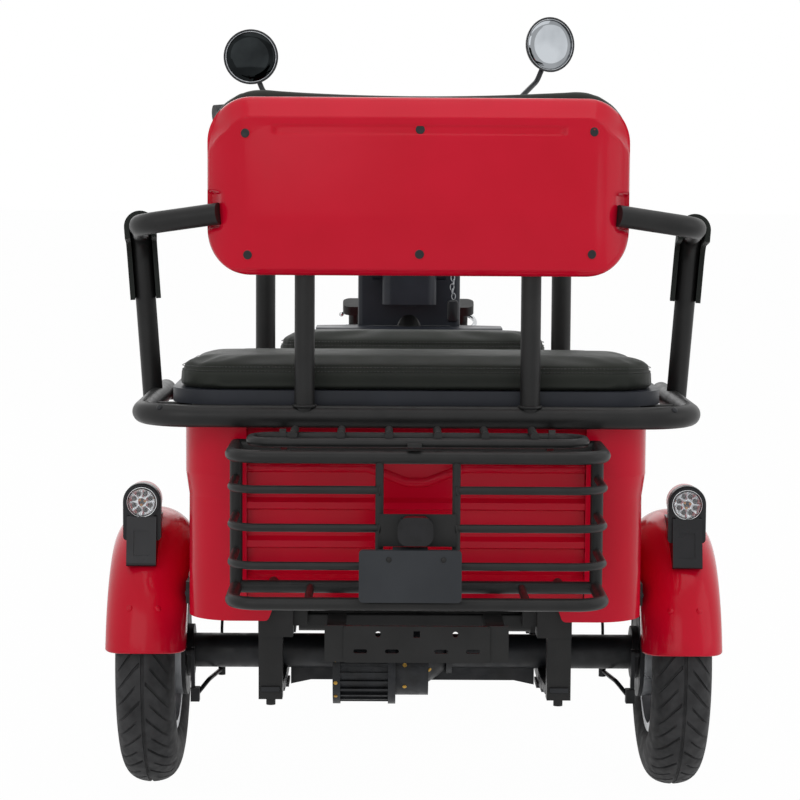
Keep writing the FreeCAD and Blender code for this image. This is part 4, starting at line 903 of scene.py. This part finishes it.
# Rear lamps: a chromed dish with eight cups, three amber emitters and a clear cover with a plated ring.
# Lengths are in millimetres.
lamp = {
    "cups": 8,
    "dishDepth": 7.0,
    "cupDepth": 3.2,
    "coneEnd": 0.30,       # share of the radius where the middle cone gives way to the cups
    "rings": 16,
    "spokes": 96,
    "emitters": (20, 140, 260),      # degrees round the middle
    "emitterCircle": 4.2,
    "emitterDepth": 2.6,
    "emitter": (1.9, 1.2),           # radius and height
}


def lampDish(centre, radius):
    rings = []
    for row in range(lamp["rings"] + 1):
        share = 0.06 + 0.94 * row / lamp["rings"]
        ring = []
        for angle in fullTurn(lamp["spokes"]):
            petal = abs(math.sin(lamp["cups"] / 2 * angle))
            cup = math.sin(math.pi * min(1.0, max(0.0, (share - lamp["coneEnd"]) / 0.68))) * petal ** 0.6
            depth = lamp["dishDepth"] * 0.35 * (1 - share ** 2) + lamp["cupDepth"] * cup
            if share < lamp["coneEnd"]:
                depth = 2.0 + 3.0 * (1 - (share / lamp["coneEnd"]) ** 2)
            ring.append((centre[0] + radius * share * math.cos(angle), centre[1] + depth * mm,
                         centre[2] + radius * share * math.sin(angle)))
        rings.append(ring)
    return skinRings(rings, closedEnds=False)


def makeLamp(side):
    low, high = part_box("lamp_lenses")
    radius = (high.z - low.z) / 2
    x = (high.x - radius) * side
    z = (low.z + high.z) / 2
    face = low.y
    name = "Left" if side < 0 else "Right"
    skin = lampDish((x, face + 0.9 * mm, z), radius - 1.2 * mm)
    dish = meshPiece("lampReflector" + name, *skin, material=chrome, body="chassis")
    profile = [(0.0001, -0.2), (radius * 0.4, 0.0), (radius * 0.75, 0.35), (radius * 0.93, 0.8),
               (radius * 0.93, 1.3), (radius * 0.75, 0.85), (radius * 0.4, 0.5), (0.0001, 0.3)]
    skin = skinRings(turnedRings(inMetres(profile), (x, face, z), (0, 1, 0), 64))
    cover = meshPiece("lampCover" + name, *skin, material=clear, body="chassis")
    section = ringSection(radius - 0.9 * mm, 1.0 * mm, 0.9 * mm, 1.3 * mm, 12)
    skin = skinRings(turnedRings(section, (x, face, z), (0, 1, 0), 72), loopBack=True)
    ring = meshPiece("lampRing" + name, *skin, material=chrome, body="chassis")
    spots = []
    out = lamp["emitterCircle"] * mm
    for angle in (math.radians(a) for a in lamp["emitters"]):
        place = (x + out * math.cos(angle), face + lamp["emitterDepth"] * mm, z + out * math.sin(angle))
        spots.append((Vector(place), Vector((0, -1, 0))))
    radius, height = lamp["emitter"]
    emitters = scatter("lampEmitters" + name, spots, "dome", amber, "chassis", radius * mm, height * mm)
    return [dish, cover, ring, emitters]


lampPieces = makeLamp(-1) + makeLamp(1)
for piece in lampPieces:
    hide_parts("lamp_lenses")
print("lamps", len(lampPieces))


# The first point of a CAD node along a line, so that small things sit on what carries them.
def spotOn(node, origin, direction):
    tree = BVHTree.FromObject(nodes[node], bpy.context.evaluated_depsgraph_get())
    place, normal, face, distance = tree.ray_cast(Vector(origin), Vector(direction).normalized())
    return (place, normal) if place else None


def fromBehind(node, x, z):
    return spotOn(node, (x, -2.0, z), (0, 1, 0))


def fromAbove(node, x, y):
    return spotOn(node, (x, y + axleY, 2.0), (0, 0, -1))


def fromBelow(node, x, y):
    return spotOn(node, (x, y + axleY, -1.0), (0, 0, 1))


# Screws, bolts and rivets: name, node, shape, material, body, slot, radius and height in mm, and
# how and where each line is cast (x with z from behind, x with y from above or below, in metres).
fastenings = [
    ("gearboxBolts", "gearbox", "hex", brass, "chassis", "motor_metal", 1.9, 2.0, fromBehind,
     [(-0.0117, 0.182), (-0.0117, 0.152), (0.0228, 0.161), (0.040, 0.200)]),
    ("motorBolts", "motor", "hex", brass, "chassis", "motor_metal", 1.8, 2.0, fromBehind,
     [(-0.104, 0.205), (-0.104, 0.190), (-0.104, 0.160), (-0.104, 0.140)]),
    ("railBolts", "seat_frame", "dome", chassisBlack, "chassis", "black_steel", 4.2, 2.4, fromAbove,
     [(-0.320, -0.308), (0.320, -0.308)]),
    ("plateScrews", "number_plate_holder", "dome", satin, "chassis", "plate_grey", 3.4, 1.8, fromBehind,
     [(-0.0345, 0.3805), (0.0304, 0.3805)]),
    ("lampPlateScrew", "rack_frame", "dome", chrome, "chassis", "black_steel", 2.2, 1.4, fromBehind,
     [(-0.0040, 0.3945)]),
    ("springBolts", "leaf_springs", "hex", zinc, "chassis", "axle_steel", 4.5, 5.0, fromBelow,
     [(-0.185, -0.012), (-0.185, 0.012), (0.185, -0.012), (0.185, 0.012)]),
    ("footboardScrews", "footboard", "dome", zinc, "chassis", "black_plastic", 4.0, 1.8, fromAbove,
     [(x, y) for x in (-0.225, 0.225) for y in (0.55, 0.72)]),
    ("seatBoxScrews", "seat_box", "dome", zinc, "chassis", "red_plastic", 3.6, 1.8, fromBehind,
     [(x, z) for x in (-0.11, 0.11) for z in (0.30, 0.50)]),
    ("bracketBolts", "fender_brackets", "hex", chassisBlack, "chassis", "black_steel", 4.2, 3.6, fromBehind,
     [(-0.296, 0.285), (0.296, 0.285)]),
    ("knuckleBolts", "brake_plates", "hex", brass, "chassis", "axle_steel", 2.4, 3.0, fromBehind,
     [(-0.302, 0.186), (0.302, 0.186)]),
]
placed = 0
for name, node, shape, material, body, slot, radius, height, cast, places in fastenings:
    spots = [spot for spot in (cast(node, *place) for place in places) if spot]
    if spots:
        piece = scatter(name, spots, shape, material, body, radius * mm, height * mm)
        placed += len(spots)
print("fastenings", placed)


# Mirror glass: a slightly domed disc in each cup, inside a thin plated edge.
def makeMirror(side, material):
    mesh = nodes["mirror_glass"].data
    places = [v.co for v in mesh.vertices if v.co.x * side > 0]
    low = Vector([min(p[i] for p in places) for i in range(3)])
    high = Vector([max(p[i] for p in places) for i in range(3)])
    facing = Vector((0, 0, 0))
    for face in mesh.polygons:
        if face.center.x * side > 0 and face.normal.y < -0.5:
            facing += face.normal * face.area
    facing.normalize()
    name = "Left" if side < 0 else "Right"
    centre = (low + high) / 2
    radius = max((p - centre).length for p in places)
    profile = [(0.0001, 1.5), (radius * 0.35, 1.36), (radius * 0.7, 1.0), (radius - 2.2 * mm, 0.62),
               (radius - 2.0 * mm, 0.1), (0.0001, 0.1)]
    rings = turnedRings(inMetres(profile), centre, facing, 64)
    glass = meshPiece("mirrorGlass" + name, *skinRings(rings), material=material, body="steering")
    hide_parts("mirror_glass")
    section = ringSection(radius - 0.6 * mm, 0.6 * mm, 0.8 * mm, 0.8 * mm, 10)
    rings = turnedRings(section, centre, facing, 72)
    edge = meshPiece("mirrorEdge" + name, *skinRings(rings, loopBack=True), material=zinc, body="steering")


# Each mirror gets its own painted reflection colour: dark on the left, pale on the right.
makeMirror(-1, silveredPaintedDarkReflection)
makeMirror(1, silvered)


# Fork springs: chromed wire coils with closed ends.
coil = {
    "outside": 0.027,      # radius over the wire, metres
    "wire": 4.0,           # radius of the wire in mm
    "turns": 8.5,
    "points": 30,          # in each turn
    "lean": 20.0,          # degrees back from upright
    "closing": 0.028,      # share of the length by which the end turns close up
}


def makeCoils():
    low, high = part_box("fork_springs")
    lean = math.radians(coil["lean"])
    up = Vector((0, -math.sin(lean), math.cos(lean)))
    out = Vector((0, math.cos(lean), math.sin(lean)))
    middleY, middleZ = (low.y + high.y) / 2, (low.z + high.z) / 2
    outside, wire = coil["outside"], coil["wire"] * mm
    radius = outside - wire
    length = ((high.z - low.z) - 2 * outside * math.sin(lean)) / math.cos(lean) - 2 * wire
    parts = []
    for side in (-1, 1):
        centre = Vector(((high.x - outside) * side, middleY, middleZ))
        path = []
        total = int(coil["turns"] * coil["points"])
        for k in range(total + 1):
            share = k / total
            rise = (share + coil["closing"] * math.sin(2 * math.pi * share)) - 0.5
            angle = 2 * math.pi * coil["turns"] * share
            around = Vector((1, 0, 0)) * math.cos(angle) + out * math.sin(angle)
            path.append(centre + up * length * rise + around * radius)
        parts.append(skinRings(tubeRings(path, wire, 10)))
    piece = meshPiece("forkCoils", *mergeParts(parts), material=chrome, body="steering")
    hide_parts("fork_springs")


makeCoils()


# Weld beads: a slightly uneven ring where a post or rod meets its rail.
def weldBeads(name, beads):
    parts = []
    uneven = random.Random(7)
    for centre, axis, radius, thick in beads:
        axis = Vector(axis).normalized()
        side = axis.orthogonal().normalized()
        other = axis.cross(side)
        path = []
        for angle in fullTurn(36):
            wave = 1 + 0.02 * math.sin(9 * angle) + 0.01 * uneven.uniform(-1, 1)
            path.append(Vector(centre) + (side * math.cos(angle) + other * math.sin(angle)) * radius * wave)
        parts.append(skinRings(tubeRings(path, thick, 8, closed=True), loopBack=True))
    piece = meshPiece(name, *mergeParts(parts), material=satin, body="chassis")


welds = {
    "postFeet": (0.140, -0.310, 0.5485),       # x each side, y from the rear axle, z
    "rods": (0.459, 0.413, 0.367),             # height of each rack rod
    "uprights": (0.046, 0.006),                # x each side, y from the rack's rear
}
footX, footY, footZ = welds["postFeet"]
postFeet = [((x, footY + axleY, footZ), (0, 0, 1), 13.4 * mm, 2.2 * mm) for x in (-footX, footX)]
weldBeads("railWelds", postFeet)
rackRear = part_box("rack_frame")[0].y
uprightX, uprightY = welds["uprights"]
rodWelds = [((x, rackRear + uprightY, z), (1, 0, 0), 5.6 * mm, 1.5 * mm)
            for x in (-uprightX, uprightX) for z in welds["rods"]]
weldBeads("rackWelds", rodWelds)
print("mirrors, coils and welds")


# On the steering column's cover: the ignition key on its chain, with a plain dark fob.
key = {
    "x": 0.073,
    "top": 0.664,
    "links": 5,
    "spacing": 0.0078,
    "link": (0.0055, 0.0032, 0.0008),      # half length, half width, wire radius
    "fob": (0.0095, 0.0190, 0.006),        # half width, half height, corner
    "fobHeight": 0.608,
}


def makeKey():
    x, y = key["x"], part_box("column_cover")[0].y - 0.004
    halfLong, halfWide, wire = key["link"]
    links = []
    for k in range(key["links"]):
        centre = Vector((x + 0.0015 * math.sin(k * 2.0), y, key["top"] - key["spacing"] * k))
        axis = Vector((1, 0.2, 0)) if k % 2 else Vector((0.2, 1, 0))
        side = Vector((0, 0, 1))
        other = axis.cross(side).normalized()
        path = [centre + side * halfLong * math.cos(t) + other * halfWide * math.sin(t) for t in fullTurn(20)]
        links.append(skinRings(tubeRings(path, wire, 6, closed=True), loopBack=True))
    chain = meshPiece("keyChain", *mergeParts(links), material=zinc, body="chassis")
    fobLoop = roundedLoop(*key["fob"], 6, 4)
    rings = [[Vector((x + u * s, y + w, key["fobHeight"] + v * s)) for u, v in fobLoop]
             for s, w in ((0.82, -0.005), (0.96, -0.004), (1.0, -0.002), (1.0, 0.002), (0.96, 0.003))]
    fob = meshPiece("keyFob", *skinRings(rings), material=lampBlack, body="chassis")


makeKey()
print("key and fob")


# The stage, the light and the camera.
photo = {
    "focal": 2419.0,       # pixels, from the spacing of the wheels, seat and rack
    "frame": 800.0,
    "camera": (-0.040, -3.300, 0.830),   # from the rear axle, metres
    "horizon": 178.6,      # pixels from the top
    "vanishing": 385.0,    # pixels from the left
    "roll": 0.35,          # degrees
}


def setCamera():
    data = bpy.data.cameras.new("photoCamera")
    data.sensor_width = 36.0
    data.lens = photo["focal"] / photo["frame"] * data.sensor_width
    data.clip_end = 60.0
    camera = bpy.data.objects.new("photoCamera", data)
    x, y, z = photo["camera"]
    camera.location = (x, y + axleY, z)
    middle = photo["frame"] / 2
    pitch = math.atan((middle - photo["horizon"]) / photo["focal"])
    yaw = math.atan((middle - photo["vanishing"]) / photo["focal"])
    turn = Matrix.Rotation(-yaw, 4, "Z") @ Matrix.Rotation(math.pi / 2 - pitch, 4, "X")
    turn = turn @ Matrix.Rotation(math.radians(photo["roll"]), 4, "Z")
    camera.rotation_euler = turn.to_euler()
    bpy.context.scene.collection.objects.link(camera)
    bpy.context.scene.camera = camera


def addLamp(name, size, power, place, target):
    data = bpy.data.lights.new(name, "AREA")
    data.shape = "RECTANGLE"
    data.size = size[0]
    data.size_y = size[1]
    data.energy = power
    lamp = bpy.data.objects.new(name, data)
    lamp.location = place
    lamp.rotation_euler = (Vector(target) - Vector(place)).to_track_quat("-Z", "Y").to_euler()
    bpy.context.scene.collection.objects.link(lamp)


stage = {
    "floorHalf": 60.0,     # metres
    "room": 0.42,          # the world's strength on the object
    "paper": 0.985,        # how much of the floor's white the camera sees, the rest is its shade
    # name, size in metres, power in watts, place, target
    "lamps": (("overhead", (3.2, 3.2), 30, (0.3, -0.6, 3.4), (0, 0, 0.4)),
              ("behindCamera", (3.4, 2.2), 26, (-1.6, -4.2, 2.1), (0, -0.3, 0.5)),
              ("rightSide", (2.0, 2.4), 12, (3.4, -1.4, 1.6), (0, 0, 0.5)),
              ("frontFill", (3.0, 2.0), 16, (-1.0, 4.4, 2.4), (0, 0.3, 0.5))),
}


# A white that the camera, gloss and glass see, over a level that lights the object.
def seenByEye(tree):
    path = addNode(tree, "ShaderNodeLightPath")
    first = addNode(tree, "ShaderNodeMath", {"operation": "MAXIMUM"}, None,
                    {0: (path, "Is Camera Ray"), 1: (path, "Is Glossy Ray")})
    return addNode(tree, "ShaderNodeMath", {"operation": "MAXIMUM"}, None,
                   {0: (first, 0), 1: (path, "Is Transmission Ray")})


def setStage():
    world = bpy.data.worlds.new("studio")
    bpy.context.scene.world = world
    world.use_nodes = True
    tree = world.node_tree
    tree.nodes.clear()
    eye = seenByEye(tree)
    room = addNode(tree, "ShaderNodeBackground", None,
                   {"Color": hexColour("F2F4F6"), "Strength": stage["room"]})
    white = addNode(tree, "ShaderNodeBackground", None, {"Color": hexColour("FFFFFF"), "Strength": 1.0})
    mix = addNode(tree, "ShaderNodeMixShader", None, None, {0: (eye, 0), 1: (room, 0), 2: (white, 0)})
    addNode(tree, "ShaderNodeOutputWorld", None, None, {"Surface": (mix, 0)})

    mesh = bpy.data.meshes.new("floor")
    half = stage["floorHalf"]
    corners = [(-half, -half, 0), (half, -half, 0), (half, half, 0), (-half, half, 0)]
    mesh.from_pydata(corners, [], [(0, 1, 2, 3)])
    floor = bpy.data.objects.new("floor", mesh)
    bpy.context.scene.collection.objects.link(floor)
    material = bpy.data.materials.new("studio paper, white")
    material.use_nodes = True
    tree = material.node_tree
    tree.nodes.clear()
    eye = seenByEye(tree)
    share = addNode(tree, "ShaderNodeMath", {"operation": "MULTIPLY"}, {1: stage["paper"]}, {0: (eye, 0)})
    paper = addNode(tree, "ShaderNodeBsdfDiffuse", None, {"Color": hexColour("F4F4F4")})
    glow = addNode(tree, "ShaderNodeEmission", None, {"Color": hexColour("FFFFFF"), "Strength": 1.0})
    mix = addNode(tree, "ShaderNodeMixShader", None, None, {0: (share, 0), 1: (paper, 0), 2: (glow, 0)})
    addNode(tree, "ShaderNodeOutputMaterial", None, None, {"Surface": (mix, 0)})
    mesh.materials.append(material)
    bpy.context.scene.view_settings.view_transform = "Standard"

    for row in stage["lamps"]:
        addLamp(*row)


setStage()
setCamera()
print("stage and camera")
